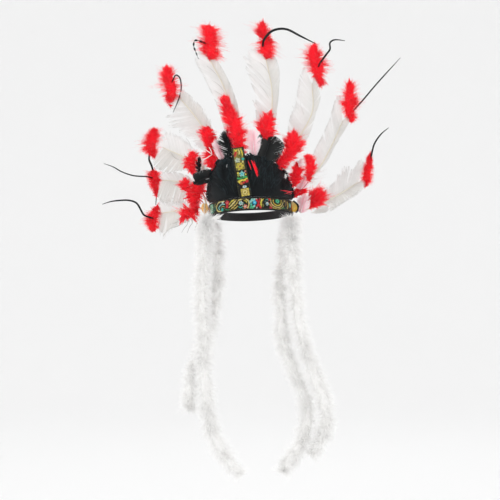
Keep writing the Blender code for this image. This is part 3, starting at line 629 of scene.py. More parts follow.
# ================================================================ down
def down(build, line, profile, count, seed, *, flat=1.0, lean=(-25, 75), width=0.42, tip=0.12,
         seg=3, clump=14, pull=0.55, spread=0.16, vary=0.22, droop=0.10, curl=0.25, sparse_ends=1.0,
         material=0, share=(0.0, 1.0), out=1.0):
    """Strands round a Line: profile is the outer radius (mm) along it. Strands grow in
    clumps whose tips draw together, which gives the ragged edge of real down."""
    rng = np.random.default_rng(seed)
    n_clump = max(6, count // clump)
    cs = share[0] + (share[1] - share[0]) * rng.random(n_clump) ** sparse_ends
    cth = rng.random(n_clump) * 2 * np.pi
    clen = 1 + vary * rng.normal(size=n_clump) * 0.7
    clen = np.clip(clen, 0.55, 1.35)
    which = rng.integers(0, n_clump, count)

    def grow(s, th, length_k, jitter):
        n = len(s)
        p, t, a, b = line.at(s)
        radial = unit(a * np.cos(th)[:, None] + b * np.sin(th)[:, None])
        squash_k = np.sqrt(np.cos(th) ** 2 + (flat * np.sin(th)) ** 2)
        ang = np.radians(lean[0] + (lean[1] - lean[0]) * np.clip(s, 0, 1) + jitter[0])
        d = radial * np.cos(ang)[:, None] + t * np.sin(ang)[:, None]
        reach = curve_of(profile, s) * squash_k * length_k / np.maximum(np.cos(ang), 0.62) * out
        bend = jitter[1] * curl + t * 0.12 - np.array([0, 0, 1.0]) * droop
        u = np.linspace(0, 1, seg + 1)[None, :, None]
        return p[:, None] + (d[:, None] * u + bend[:, None] * u ** 2) * reach[:, None, None]

    zero = (np.zeros(n_clump) + rng.normal(size=n_clump) * 9, random_units(rng, n_clump))
    centre = grow(cs, cth, clen, zero)
    s = cs[which] + rng.normal(size=count) * spread * (share[1] - share[0]) * 0.28
    s = np.clip(s, share[0], share[1])
    th = cth[which] + rng.normal(size=count) * 0.42
    k = clen[which] * (1 + rng.normal(size=count) * 0.10)
    own = grow(s, th, k, (rng.normal(size=count) * 12, random_units(rng, count)))
    u = np.linspace(0, 1, seg + 1)[None, :, None]
    p = own * (1 - pull * u) + centre[which] * (pull * u)
    direction = unit(p[:, -1] - p[:, 0])
    side = unit(np.cross(direction, random_units(rng, count)))[:, None]
    half = np.interp(np.linspace(0, 1, seg + 1), (0, 0.35, 1), (width * 0.7, width, tip))
    rnd = np.clip(0.5 + (rng.random(n_clump)[which] - 0.5) * 0.6 + rng.normal(size=count) * 0.12, 0, 1)
    build.strips(p, side, half * (0.8 + 0.4 * rng.random(count))[:, None], rnd, s, material)


def mass(build, left, right, depth, count, seed, *, thick=0.8, root=(0.2, 0.8), width=0.42, tip=0.11,
         seg=3, clump=16, pull=0.5, vary=0.16, spread=0.03, turn=0.30, bow=0.10, inner=0.5,
         material=0, out=1.0, jitter=1.2):
    """Down whose strands run from a spine to an outline drawn by two edges."""
    rng = np.random.default_rng(seed)
    lo, hi = front(left, depth), front(right, depth)
    mid, half = (lo + hi) / 2, (hi - lo) / 2
    wide = np.linalg.norm(half, axis=1, keepdims=True)
    n_c = max(6, count // clump)
    uc, tc = rng.random(n_c), rng.random(n_c) * 2 * np.pi
    kc = np.clip(1 + vary * rng.normal(size=n_c), 0.62, 1.4)
    which = rng.integers(0, n_c, count)

    def grow(u, th, k, off, bend):
        c, h, w = reading(mid, u), reading(half, u), reading(wide, u)
        end = c + h * np.cos(th)[:, None] - NEAR * w * thick * np.sin(th)[:, None]
        start = reading(mid, root[0] + (root[1] - root[0]) * u) + off
        reach = (end - start) * k[:, None] * out
        span = np.linalg.norm(reach, axis=1, keepdims=True)
        ahead = unit(reading(mid, u + 0.04) - reading(mid, u - 0.04))
        ctrl = start + reach * 0.5 + (ahead * bow + bend * 0.16) * span
        v = np.linspace(0, 1, seg + 1)[None, :, None]
        return (start[:, None] * (1 - v) ** 2 + ctrl[:, None] * 2 * v * (1 - v)
                + (start + reach)[:, None] * v ** 2)

    centre = grow(uc, tc, kc, rng.normal(size=(n_c, 3)) * jitter, random_units(rng, n_c))
    u = np.clip(uc[which] + rng.normal(size=count) * spread, 0, 1)
    th = tc[which] + rng.normal(size=count) * turn
    k = kc[which] * (1 + rng.normal(size=count) * 0.06)
    own = grow(u, th, k, rng.normal(size=(count, 3)) * jitter, random_units(rng, count))
    v = np.linspace(0, 1, seg + 1)[None, :, None]
    p = own * (1 - pull * v) + centre[which] * (pull * v)
    short = np.where(rng.random(count) < inner, rng.uniform(0.45, 0.95, count), 1.0)[:, None, None]
    p = p[:, :1] + (p - p[:, :1]) * short
    side = unit(np.cross(unit(p[:, -1] - p[:, 0]), random_units(rng, count)))[:, None]
    thin = np.interp(np.linspace(0, 1, seg + 1), (0, 0.35, 1), (width * 0.7, width, tip))
    rnd = np.clip(0.5 + (rng.random(n_c)[which] - 0.5) * 0.7 + rng.normal(size=count) * 0.12, 0, 1)
    build.strips(p, side, thin * (0.8 + 0.4 * rng.random(count))[:, None], rnd, u, material)


def core(build, left, right, depth, share=0.6, thick=0.8, material=0, tone=0.6):
    """A plain body inside a tuft, so that nothing shows through between its strands."""
    lo, hi = front(left, depth), front(right, depth)
    mid, half = (lo + hi) / 2, (hi - lo) / 2
    wide = np.linalg.norm(half, axis=1, keepdims=True)
    s = np.linspace(0.06, 0.94, 20)
    ang = np.linspace(0, 2 * np.pi, 10, endpoint=False)
    c, h, w = reading(mid, s)[:, None], reading(half, s)[:, None], reading(wide, s)[:, None]
    p = c + (h * np.cos(ang)[None, :, None] - NEAR * w * thick * np.sin(ang)[None, :, None]) * share
    p = np.concatenate([np.repeat(c[:1], 10, 1), p, np.repeat(c[-1:], 10, 1)])
    col = np.ones((*p.shape[:2], 4))
    col[..., 0], col[..., 1], col[..., 2] = 0.5, tone, 0.5
    build.grid(p, col, material, wrap_v=True)


# ================================================================ quill feathers
def vane(build, shaft, edge, s0, s1, seed, *, spacing=0.6, seg=5, cuts=4, gap=0.2, ragged=0.02,
         camber=0.10, tilt=12.0, material=0, bulge=0.07, wide=0.62, stray=0.03, mirror=1,
         lift=0.3):
    """One side of a vane: barbs from the shaft to an edge line, parted into groups."""
    rng = np.random.default_rng(seed)
    run = np.linalg.norm(np.diff(edge, axis=0), axis=1).sum()
    n = max(8, int(max(run, (s1 - s0) * shaft.length) / spacing))
    q = np.linspace(0, 1, n)
    cut = np.sort(rng.uniform(0.06, 0.95, cuts))
    bounds = np.concatenate([[0], cut, [1]])
    group = np.searchsorted(cut, q)
    middle = (bounds[group] + bounds[group + 1]) / 2
    close = 1 - gap * rng.uniform(0.2, 1.3, cuts + 1)[group]
    if cuts == 0:
        close = close * 0 + 1
    aim = np.clip(middle + (q - middle) * close + rng.normal(size=n) * 0.0015, 0, 1)
    root, t, a, b = shaft.at(s0 + (s1 - s0) * q)
    end = reading(edge, aim)
    length = 1 + ragged * rng.normal(size=n) + (ragged * 1.6 * rng.normal(size=cuts + 1))[group]
    length = np.where(rng.random(n) < stray, length * rng.uniform(0.6, 1.06, n), length)
    reach = (end - root) * length[:, None]
    span = np.linalg.norm(reach, axis=1, keepdims=True)
    lateral = unit(reach - t * (reach * t).sum(-1, keepdims=True))
    ctrl = root + reach * 0.5 + lateral * span * bulge + NEAR * span * camber
    level = (((group % 2) * 0.5 - 0.25) * lift)[:, None] * NEAR
    v = np.linspace(0, 1, seg + 1)[None, :, None]
    p = (root[:, None] * (1 - v) ** 2 + ctrl[:, None] * 2 * v * (1 - v)
         + (root + reach)[:, None] * v ** 2 + level[:, None])
    d = unit(np.gradient(p, axis=1))
    fore = np.diff(p, axis=0)
    fore = np.concatenate([fore, fore[-1:]])
    aft = np.concatenate([fore[:1], fore[:-1]])
    apart = np.minimum(*(np.linalg.norm(g - d * (g * d).sum(-1, keepdims=True), axis=-1)
                         for g in (fore, aft)))
    up = unit(NEAR - d * (d @ NEAR)[..., None])
    across = unit(np.cross(d, up))
    tl = math.radians(tilt)
    across = unit(across * math.cos(tl) + up * math.sin(tl) * mirror)
    half = np.maximum(apart * wide, 0.10) * np.interp(np.linspace(0, 1, seg + 1), (0, 0.75, 1), (1, 1, 0.55))
    rnd = np.clip(0.5 + 0.16 * rng.normal(size=n) + 0.12 * rng.normal(size=cuts + 1)[group], 0, 1)
    build.strips(p, across, half, rnd, q, material)


CURLED = {  # split barbs that curl away from a vane, in grey as painted shade on their undersides: places in the front view, half width (mm)
    "white_feather_1": (
        (((185, 217), (182.5, 223), (177, 226.4), (170.5, 228.4), (166, 232), (163.4, 236.4)), 1.0),
        (((188, 219), (187.4, 224), (184, 228.6), (181.6, 232.6)), 0.8),
        (((192, 218), (192.4, 222.6), (189.6, 227), (187.2, 233)), 0.8),
        (((197, 217), (197.6, 222), (195.4, 227.4), (194.8, 231)), 0.9),
        (((180, 218), (177, 222), (171.6, 224), (167, 224.8)), 0.7)),
    "white_feather_3": (
        (((186, 158), (182, 150.5), (178.4, 146.2)), 0.5), (((191, 152), (189.6, 143), (186, 138.4)), 0.5),
        (((179, 160), (174, 157), (171, 152.6)), 0.5)),
    "white_feather_5": (
        (((230, 104), (222, 95.4), (214.6, 90.6)), 0.45), (((226, 94), (218.4, 84.6), (211.6, 80)), 0.45),
        (((221, 80), (213, 71), (207, 66)), 0.4)),
    "white_feather_6": (
        (((269, 98), (264.6, 91), (259, 84.4)), 0.45), (((266, 84), (261.4, 76), (255.4, 70.2)), 0.45),
        (((270, 76), (264, 66), (257, 60.4)), 0.45)),
    "white_feather_7": (
        (((304, 115), (301, 106), (299.4, 98)), 0.4),),
    "white_feather_9": (
        (((311, 212.4), (316, 213), (321.4, 211), (326, 211), (330, 208.4), (336, 206.4), (341.4, 202.8),
          (346, 200.8), (350.2, 196.8), (356, 193.2), (360, 188.4)), 0.5),
        (((328.6, 197.6), (331, 199.6), (330.8, 201.8), (334, 203.4)), 0.5)),
}


def make_white_feathers():
    for i, (name, root, knee, middle, tip, wa, wb) in enumerate(WHITE):
        foot = oval(*root)
        knee, middle, tip = (np.array(v, float) for v in (knee, middle, tip))
        shaft = Line([foot, knee, middle, tip, tip + unit(tip - middle) * 9], 90)
        s0, s1, left, right = WHITE_EDGES[name]
        y = shaft.at(np.linspace(s0 + 0.06, s1 + 0.02, 24))[0][:, 1]
        split, frayed = i in (0, 1, 2, 3), i in (3, 5, 8)
        b = Build()
        vane(b, shaft, front(left, y + 3, 90), s0, s1, 40 + i, spacing=0.55, cuts=10 if frayed else 7 if split else 5,
             gap=0.5 if frayed else 0.32 if split else 0.2, ragged=0.09 if frayed else 0.035 if split else 0.02,
             camber=0.10, seg=5, mirror=1)
        # the right vane uses the darker cream web: painted shade on that side
        vane(b, shaft, front(right, y + 4, 90), s0, s1, 540 + i, spacing=0.6, cuts=6 if split else 3,
             gap=0.3 if split else 0.14, ragged=0.03, camber=0.06, seg=4, material=2, mirror=-1)
        radii = 1.75 - 1.2 * np.linspace(0, 1, 30) ** 0.8
        b.tube(shaft, radii, sides=7, material=1, lift=0.3)
        down(b, shaft, ((0, 14), (1, 14)), 190, 900 + i, flat=0.35, lean=(45, 45), width=0.34, tip=0.08,
             share=(s0 - 0.10, s0 + 0.06), pull=0.25, clump=9, curl=0.5)
        for edge, mirror, web in ((left, 1, 0), (right, -1, 2)):
            vane(b, shaft, front(edge, y + 1.5, 90), s0, s1, 940 + i + 20 * (mirror < 0), spacing=1.5,
                 cuts=12 if split else 8, gap=0.6, ragged=0.07 if split else 0.03, camber=0.13, seg=5,
                 material=web, mirror=mirror, stray=0.25, wide=0.22, lift=0.9)
        k = 1.75 * (1 + shaft.p[:, 1] / 2600)
        seen = np.stack([251 + shaft.p[:, 0] / k, 250 - (shaft.p[:, 2] + 75) / k], 1)
        for pts, wide in CURLED.get(name, ()):
            near = tuple(float(shaft.p[np.hypot(*(seen - p).T).argmin(), 1]) - (19 if i == 8 else 5)
                         for p in np.array(pts))
            b.tube(Line(front(pts, near, 30), 40), np.linspace(wide, wide * 0.4, 24), sides=5,
                   material=3, flat=0.5)
        b.finish(name + "_quill", [MATS["white_web"], MATS["shaft"], MATS["shaded_cream_web"], MATS["shadowed_barb"]],
                 [name])


def make_red_tips():
    for i, (name, depth, left, right) in enumerate(RED_TIPS):
        b = Build()
        depth -= {2: 4.0, 3: 7.0, 7: 11.0, 8: 11.0}.get(i, 0.0)      # these lie over their feather's end
        core(b, left, right, depth, 0.48, 0.8)
        mass(b, left, right, depth, 700, 100 + i, thick=0.85, root=(0.08, 0.88), width=0.46, tip=0.12,
             clump=7, pull=0.25, vary=0.05, bow=0.05, turn=0.7, spread=0.05, out=1.02, inner=0.45, jitter=3.0)
        mass(b, left, right, depth, 750, 130 + i, thick=0.85, root=(0.12, 0.82), width=0.34, tip=0.08,
             clump=9, pull=0.38, vary=0.08, bow=0.10, turn=0.3, out=1.14, inner=0.2, jitter=2.2)
        mass(b, left, right, depth, 480, 160 + i, thick=0.85, root=(0.12, 0.84), width=0.18, tip=0.04,
             clump=4, pull=0.35, vary=0.13, out=1.30, inner=0, bow=0.14)
        mass(b, left, right, depth, 300, 190 + i, thick=0.85, root=(0.12, 0.84), width=0.13, tip=0.04,
             clump=2, pull=0.2, vary=0.14, out=1.48, inner=0, bow=0.16)
        b.finish(name + "_down", [MATS["red"]], [name])


# ================================================================ inner plumes
def make_plumes():
    for i, (name, root, knee, depth, left, right, roots, thick, clump, vary, count) in enumerate(PLUMES):
        b = Build()
        core(b, left, right, depth, 0.48, thick)
        mass(b, left, right, depth, int(count * 0.5), 200 + i, thick=thick, root=roots, width=0.46,
             tip=0.12, clump=8, pull=0.3, vary=0.05, bow=0.14, turn=0.6, spread=0.04, out=0.98,
             inner=0.4, jitter=2.5)
        mass(b, left, right, depth, int(count * 0.45), 230 + i, thick=thick, root=roots, width=0.36,
             clump=clump * 2 // 3, pull=0.5, vary=vary * 0.6, bow=0.16, turn=0.22, spread=0.02, out=1.08,
             inner=0.15, jitter=1.8)
        mass(b, left, right, depth, count // 4, 260 + i, thick=thick, root=roots, width=0.16, tip=0.04,
             clump=3, pull=0.2, vary=0.12, out=1.26, inner=0, bow=0.14)
        lo, hi = front(left, depth), front(right, depth)
        mid = (lo + hi) / 2
        stem = Line([oval(*root), knee, mid[4], mid[24], mid[40]], 50)
        if name not in ("red_plume_8", "red_plume_12"):       # their stems lie behind other feathers
            b.tube(stem, np.linspace(0.7, 0.3, 16), sides=6, material=1)
        if name == "red_plume_6":     # two pale shafts that meet in a V
            for pts in (((203.4, 148.8), (208, 151.4), (212, 154.6)), ((212, 154.6), (207.5, 157.4), (202.8, 160.4)),
                        ((209, 147.2), (210.9, 150.5), (212, 154.6))):
                b.tube(Line(front(pts, (-66, -69), 12), 24), [0.5, 0.85, 0.8, 0.45], sides=5, material=2)
        b.finish(name + "_down", [MATS["red"], MATS["red_stem"], MATS["pale_shaft"]], [name])


TRIMMED = (  # name, slot, web, shaft material, depth, shaft, left edge, right edge, shares, cuts
    ("pink_feather_1", "pink_feather", "pink_web", "pale_shaft", -64,
     ((223.5, 163), (218.5, 152), (214.8, 142)), ((219, 160), (213.8, 151), (212, 144), (214.5, 139.5)),
     ((226, 160), (224.3, 151), (219.5, 142.5), (214.5, 139.5)), 0.0, 0.9, 1),
    ("pink_feather_2", "pink_feather", "pink_web", "pale_shaft", -86,
     ((254.3, 157), (253.2, 145), (252.2, 131)), ((251, 155.5), (246.9, 148), (246, 138), (248.3, 129.5), (252, 128)),
     ((257, 155.5), (259.8, 148), (261, 138), (257.8, 130.5), (252, 128)), 0.0, 0.9, 5),
    ("pink_feather_3", "pink_feather", "pink_web", "pale_shaft", -30,
     ((301, 189), (304, 181), (305.5, 175)), ((293, 188), (298.5, 181.5), (305.5, 173)),
     ((306.5, 188.5), (310, 183), (305.5, 173)), 0.0, 0.85, 2),
    ("pink_feather_4", "pink_feather", "pink_web", "pale_shaft", -8,
     ((300.5, 213), (303, 205), (305, 197)), ((298, 211), (296.3, 203), (298, 197.5), (305, 193.5)),
     ((307.5, 211.5), (310, 203), (309.8, 197), (305, 193.5)), 0.0, 0.85, 3),
    ("black_feather_1", "black_feather", "black_web", "black_shaft", -40,
     ((215, 177.4), (208, 177.2), (200, 180.4), (194.5, 181.4)),
     ((216, 169.5), (209, 169.2), (203, 169.8), (197, 172), (193.2, 173.8), (192.8, 177)),
     ((215.5, 183.5), (208, 183.4), (200, 185.3), (193.8, 184.6), (192.8, 181.5)), 0.0, 0.97, 0),
    ("black_feather_3", "black_feather", "sheen_web", "black_shaft", -80,
     ((262, 163), (267, 150), (270.5, 138)), ((254, 158), (256.3, 147), (258.6, 135.4), (264, 132.8), (271, 133.6)),
     ((277, 162), (282.5, 152), (284.6, 145.5), (279.4, 138.6), (271, 133.6)), 0.0, 0.94, 0),
    ("temple_feather_left", "amber_feather", "cream_amber_web", "shaft", -33,
     ((204.4, 203.4), (204.7, 208.5), (204.9, 213.4)), ((202.2, 204), (201.2, 208.8), (204.6, 215)),
     ((207.2, 204), (208.2, 209.3), (204.6, 215)), 0.0, 0.9, 1),
    ("temple_feather_right", "amber_feather", "amber_web", "black_shaft", -32,
     ((293.2, 200.9), (297.2, 205.6), (297.1, 211.8)), ((287.6, 203), (289.6, 209.5), (296.6, 213.4)),
     ((294, 200.3), (298.9, 205.2), (297.6, 213.4)), 0.0, 0.9, 1),
)
SPIKED = (  # name, depth, shaft, left edge, right edge, cuts at the left
    ("black_feather_2", -82, ((230.5, 161), (228.8, 145), (227.6, 131.5)),
     ((225, 158), (219, 147), (217.2, 141), (219.5, 135.5), (222.4, 131.5), (227.5, 129)),
     ((234, 158), (233.5, 146), (231.6, 136), (227.5, 129)), 6),
    ("black_feather_4", -28, ((198.5, 172), (199, 165), (200, 158)),
     ((196, 171.5), (195, 166), (195.8, 160), (199.8, 155.2)),
     ((200.5, 171.5), (201.4, 165), (201.3, 160), (199.8, 155.2)), 3),
)


def make_trimmed():
    for i, (name, slot, web, shaft_mat, depth, shaft_pts, left, right, s0, s1, cuts) in enumerate(TRIMMED):
        shaft = Line(front(shaft_pts, depth - 1.0, 12), 50)
        edged = name == "temple_feather_right"      # its outer half is black
        pink = slot == "pink_feather"
        b = Build()
        for edge, mirror in ((left, 1), (right, -1)):
            vane(b, shaft, front(edge, depth + 1.5), s0, s1, 300 + i + 50 * (mirror < 0),
                 spacing=0.5 if pink else 0.36, seg=4, cuts=cuts, gap=0.3 if pink else 0.08,
                 ragged=0.05 if pink else 0.012, camber=0.10 if pink else 0.06,
                 wide=0.62 if pink else 0.9, mirror=mirror, stray=0.08 if pink else 0.0,
                 tilt=16.0 if pink else 6.0, material=2 if edged and mirror < 0 else 0)
        b.tube(shaft, np.linspace(0.8, 0.25, 16), sides=6, material=1, lift=0.5)
        if name == "black_feather_1":     # a painted highlight on its shaft near the root: a pale tube stands for the glint
            b.tube(Line(front(((205.4, 179.4), (209, 178.5), (213.4, 176.6)), (-42.6, -42.6), 12), 16),
                   [0.2, 0.6, 1.0, 0.4], sides=6, material=4)
        if pink:      # soft barbs over the flat vane
            mass(b, left, right, depth, 320, 380 + i, thick=0.12, root=(-0.1, 0.6), width=0.24, tip=0.06,
                 clump=7, pull=0.5, vary=0.10, bow=0.2, turn=0.3, out=1.02, inner=0.4)
        if name == "pink_feather_3":      # a curled whitish end over the red tufts
            mass(b, ((299.8, 166.4), (296.6, 163), (297.2, 159.6), (301, 157.2)),
                 ((299.8, 166.4), (303.6, 164), (305, 160.6), (301, 157.2)), -50, 420, 398, thick=0.3,
                 root=(0.0, 0.7), width=0.34, clump=12, pull=0.55, vary=0.10, bow=0.3, turn=0.3, material=3)
        b.finish(name + "_web", [MATS[web], MATS[shaft_mat], MATS["black_web"], MATS["blush_web"],
                                 MATS["glint_highlight"]], [name])
    for i, (name, depth, shaft_pts, left, right, cuts) in enumerate(SPIKED):
        shaft = Line(front(shaft_pts, depth - 1.0, 12), 50)
        b = Build()
        vane(b, shaft, front(left, depth + 1.5), 0.0, 0.97, 400 + i, spacing=0.34, seg=4, cuts=cuts,
             gap=0.62, ragged=0.05, camber=0.08, wide=0.8, mirror=1, stray=0.0)
        vane(b, shaft, front(right, depth + 1.5), 0.0, 0.97, 440 + i, spacing=0.34, seg=4, cuts=2,
             gap=0.2, ragged=0.03, camber=0.08, wide=0.8, mirror=-1, stray=0.0)
        mass(b, left, right, depth, 260 if i == 0 else 120, 460 + i, thick=0.25, root=(-0.05, 0.7),
             width=0.32, tip=0.08, clump=9, pull=0.6, vary=0.08, bow=0.2, turn=0.3, out=1.02, inner=0.4)
        b.tube(shaft, np.linspace(0.9, 0.3, 16), sides=6, material=1, lift=0.5)
        b.finish(name + "_web", [MATS["black_web"], MATS["black_shaft"]], [name])


# ================================================================ black crest
def make_crest():
    rng = np.random.default_rng(500)
    bottom = BAND_HEIGHT / 2 + 0.4
    lo = 2.6

    def surface(deg, share):
        """Place on the crest's outer surface: share 0 is the foot, 1 the top."""
        h = curve_of(CREST, deg)
        share = np.asarray(share, float)
        out = lo + np.interp(share, (0, 0.35, 0.75, 1.0), (0.9, CREST_FRONT - lo - 0.6,
                                                            CREST_FRONT - lo - 1.4, 1.6))
        return oval(deg, out, bottom + share * h)

    b = Build()
    # smooth dark body under the hackles
    deg = np.linspace(-72, 72, 97)
    share = np.linspace(0, 1, 17)
    dd, ss = np.meshgrid(deg, share, indexing="ij")
    outer = surface(dd, ss)
    back = oval(dd, np.full(dd.shape, lo), bottom + ss * curve_of(CREST, dd))
    ring = np.concatenate([outer, back[:, ::-1]], 1)
    ring = np.concatenate([np.repeat(ring[:1].mean(1, keepdims=True), ring.shape[1], 1), ring,
                           np.repeat(ring[-1:].mean(1, keepdims=True), ring.shape[1], 1)])
    col = np.ones((*ring.shape[:2], 4))
    col[..., 0], col[..., 1], col[..., 2] = 0.3, 0.3, 0.5
    b.grid(ring, col, 0, wrap_v=True)

    # small hackle feathers overlap like shingles: barbs leave a short axis on both sides
    u = np.linspace(0, 1, 4)
    count, barbs = 250, 26
    row = rng.random(count) ** 0.85
    d_axis = rng.uniform(-71, 71, count)
    s_axis = row * 0.86
    run = rng.uniform(17, 27, count)
    lean_deg = d_axis * 0.30 + rng.normal(size=count) * 4.0
    girth = rng.uniform(3.0, 4.8, count)
    own = rng.random(count)
    which = np.repeat(np.arange(count), barbs)
    n = len(which)
    t0 = rng.random(n) ** 0.8 * 0.86
    sign = np.where(rng.random(n) < 0.5, -1.0, 1.0)
    leaf = girth[which] * np.sin(np.pi * np.clip(t0 + 0.12, 0, 1)) ** 0.6
    t = t0[:, None] + u[None] * (0.26 + 0.06 * rng.random(n))[:, None]
    aside = sign[:, None] * leaf[:, None] * u[None] ** 0.75 * (1 - 0.45 * t0[:, None])
    dpath = np.clip(d_axis[which][:, None] + lean_deg[which][:, None] * t + aside / 1.42, -75, 75)
    h = curve_of(CREST, dpath)
    spath = s_axis[which][:, None] + t * run[which][:, None] / h
    base = surface(dpath, np.minimum(spath, 1.0))
    nrm = unit(oval(dpath, np.full(dpath.shape, 10.0), 0) - oval(dpath, np.zeros(dpath.shape), 0))
    lift = 0.5 + (0.6 + 1.2 * own[which])[:, None] * t - 0.5 * np.abs(aside) / girth[which][:, None]
    pts = base + nrm * lift[..., None] + np.maximum(spath - 1.0, 0)[..., None] * (h * 0.3)[..., None] * CREST_UP
    side = unit(np.cross(unit(np.gradient(pts, axis=1)), nrm + random_units(rng, n)[:, None] * 0.30))
    half = np.interp(u, (0, 0.4, 1), (0.35, 0.50, 0.14))
    b.strips(pts, side, half * (0.7 + 0.6 * rng.random(n))[:, None],
             np.clip(own[which] * 0.7 + rng.random(n) * 0.3, 0, 1), t0, 0)

    # the outline is ragged, with longer spikes towards the right end
    n, bunches = 1900, 150
    mid_deg = rng.uniform(-72.5, 72.5, bunches)
    spike = np.where(mid_deg > 40, rng.uniform(2.5, 8.5, bunches), rng.uniform(1.2, 4.2, bunches))
    fan = np.radians(mid_deg * 1.05 + rng.normal(size=bunches) * 9)
    way = np.stack([np.sin(fan) * 0.9, -0.10 + 0 * fan, np.cos(fan) + 0.15], -1)
    g = rng.integers(0, bunches, n)
    d0 = np.clip(mid_deg[g] + rng.normal(size=n) * 1.5, -73, 73)
    low = np.where((np.abs(d0) > 64) & (rng.random(n) < 0.6), rng.uniform(0.15, 0.97, n), 0.97)
    base = surface(d0, low)
    along = unit(way[g] + rng.normal(size=(n, 3)) * 0.07)
    reach = spike[g] * rng.uniform(0.55, 1.05, n)
    pts = base[:, None] + along[:, None] * (u[None, :, None] * reach[:, None, None])
    pull = (surface(mid_deg[g], low) + way[g] * spike[g][:, None] - pts[:, -1]) * 0.6
    pts = pts + pull[:, None] * u[None, :, None] ** 2
    side = unit(np.cross(along, random_units(rng, n)))[:, None]
    b.strips(pts, side, np.interp(u, (0, 0.5, 1), (0.45, 0.38, 0.06)), rng.random(n), d0 * 0 + 0.9, 0)

    # a smooth rounded feather lies over the left shoulder, with a small painted glint (a pale tube)
    shaft = Line(front(((224.6, 180), (222.6, 172), (221.6, 165)), (-92, -89, -85), 12), 40)
    for edge, mirror in ((((220.6, 180), (216, 175), (215, 168.6), (218, 163), (222.5, 160)), 1),
                         (((227, 180), (230.2, 173), (230, 166), (227.4, 161.4), (222.5, 160)), -1)):
        vane(b, shaft, front(edge, (-90, -85, -82), 60), 0.0, 0.95, 560 + mirror, spacing=0.36, seg=4,
             cuts=2, ragged=0.06, camber=0.12, wide=0.7, mirror=mirror, stray=0.1, tilt=8.0, material=0)
    b.tube(Line(front(((227.4, 164.2), (226.6, 165.8), (226.9, 167.6)), (-90, -91), 12), 16), [0.3, 0.75, 0.6, 0.2],
           sides=6, material=4)
    # red and white ends that poke through
    for pts, wide in ((((251.2, 160.2), (253.6, 164.6), (255.8, 170), (257.5, 177)), (0.5, 1.9, 2.0, 0.2)),
                      (((248.0, 160.6), (249.4, 164.4), (250.4, 167), (251.2, 170)), (0.3, 0.8, 0.7, 0.1)),
                      (((253.6, 160.6), (254.8, 163), (255.6, 166.4)), (0.2, 0.5, 0.1))):
        b.tube(Line(front(pts, -105, 12), 20), wide, sides=8, material=2, flat=0.35)
    mass(b, ((257.0, 175.6), (253.8, 169), (250.9, 161)), ((257.0, 175.6), (257.6, 168), (254.4, 161.6), (250.9, 161)),
         -105.6, 60, 720, thick=0.1, root=(-0.1, 0.5), width=0.24, tip=0.05, clump=6,
         pull=0.5, vary=0.05, bow=0.2, turn=0.2, material=2)
    for pts, wide in ((((292, 193.4), (287, 191.6), (280.5, 190.2)), 0.5), (((291.5, 192.2), (286, 190.4), (281.4, 190.6)), 0.3),
                      (((292.4, 191.4), (289, 191.8), (286, 193.4)), 0.6), (((291, 194.4), (287, 193.6), (284.2, 194.0)), 0.25)):
        b.tube(Line(front(pts, (-57, -68, -82), 12), 20), [wide, wide, wide * 0.8, wide * 0.3], sides=5, material=2,
               flat=0.6)
    mass(b, ((284.5, 178), (283.2, 175.5), (284.8, 173.6)), ((284.5, 178), (288.4, 177), (287.2, 174.6), (284.8, 173.6)),
         -76, 60, 590, thick=0.3, root=(0, 0.5), width=0.34, clump=8, pull=0.4, vary=0.1, bow=0.2, turn=0.3,
         material=3)
    b.finish("black_crest_hackles", [MATS["black_hackle"], MATS["black_web"], MATS["red"], MATS["white_web"],
                                     MATS["glint_highlight"]], ["black_crest"])


# ================================================================ bands and ribbons
def band_loop(name, node, mat, d0, d1, lo, hi, height, count, edge=0.7, rows=14):
    """A cloth band: rounded section swept round the oval, with u along and v across it."""
    deg = np.linspace(d0, d1, count)
    half = height / 2
    zs = np.linspace(-half, half, rows)
    bulge = edge * np.clip((np.abs(zs) / half - 0.86) / 0.14, 0, 1) ** 2
    outer = [(hi - g, z) for g, z in zip(bulge, zs)]
    inner = [(lo + g * 0.4, z) for g, z in zip(bulge[::-1], zs[::-1])]
    loop = outer + inner
    p = np.stack([oval(deg, o, z) for o, z in loop], 1)
    p = np.concatenate([np.repeat(p[:1].mean(1, keepdims=True), p.shape[1], 1), p,
                        np.repeat(p[-1:].mean(1, keepdims=True), p.shape[1], 1)])
    col = np.ones((*p.shape[:2], 4))
    col[..., 0] = 0.5
    col[1:-1, :, 1] = np.linspace(0, 1, count)[:, None]
    col[..., 2] = np.array([(z + half) / height for _, z in loop])[None]
    b = Build()
    b.grid(p, col, 0, wrap_v=True)
    return b.finish(name, [mat], [node])


GOLD, GOLD2 = (0.62, 0.47, 0.10), (0.78, 0.66, 0.24)
TEAL, TEAL2 = (0.05, 0.48, 0.40), (0.30, 0.70, 0.62)
RED, ORANGE = (0.62, 0.025, 0.035), (0.72, 0.20, 0.05)
GREEN, BLUE = (0.04, 0.30, 0.10), (0.03, 0.33, 0.55)
PALE, YELLOW, BLACK = (0.62, 0.74, 0.70), (0.80, 0.66, 0.08), (0.005, 0.007, 0.006)


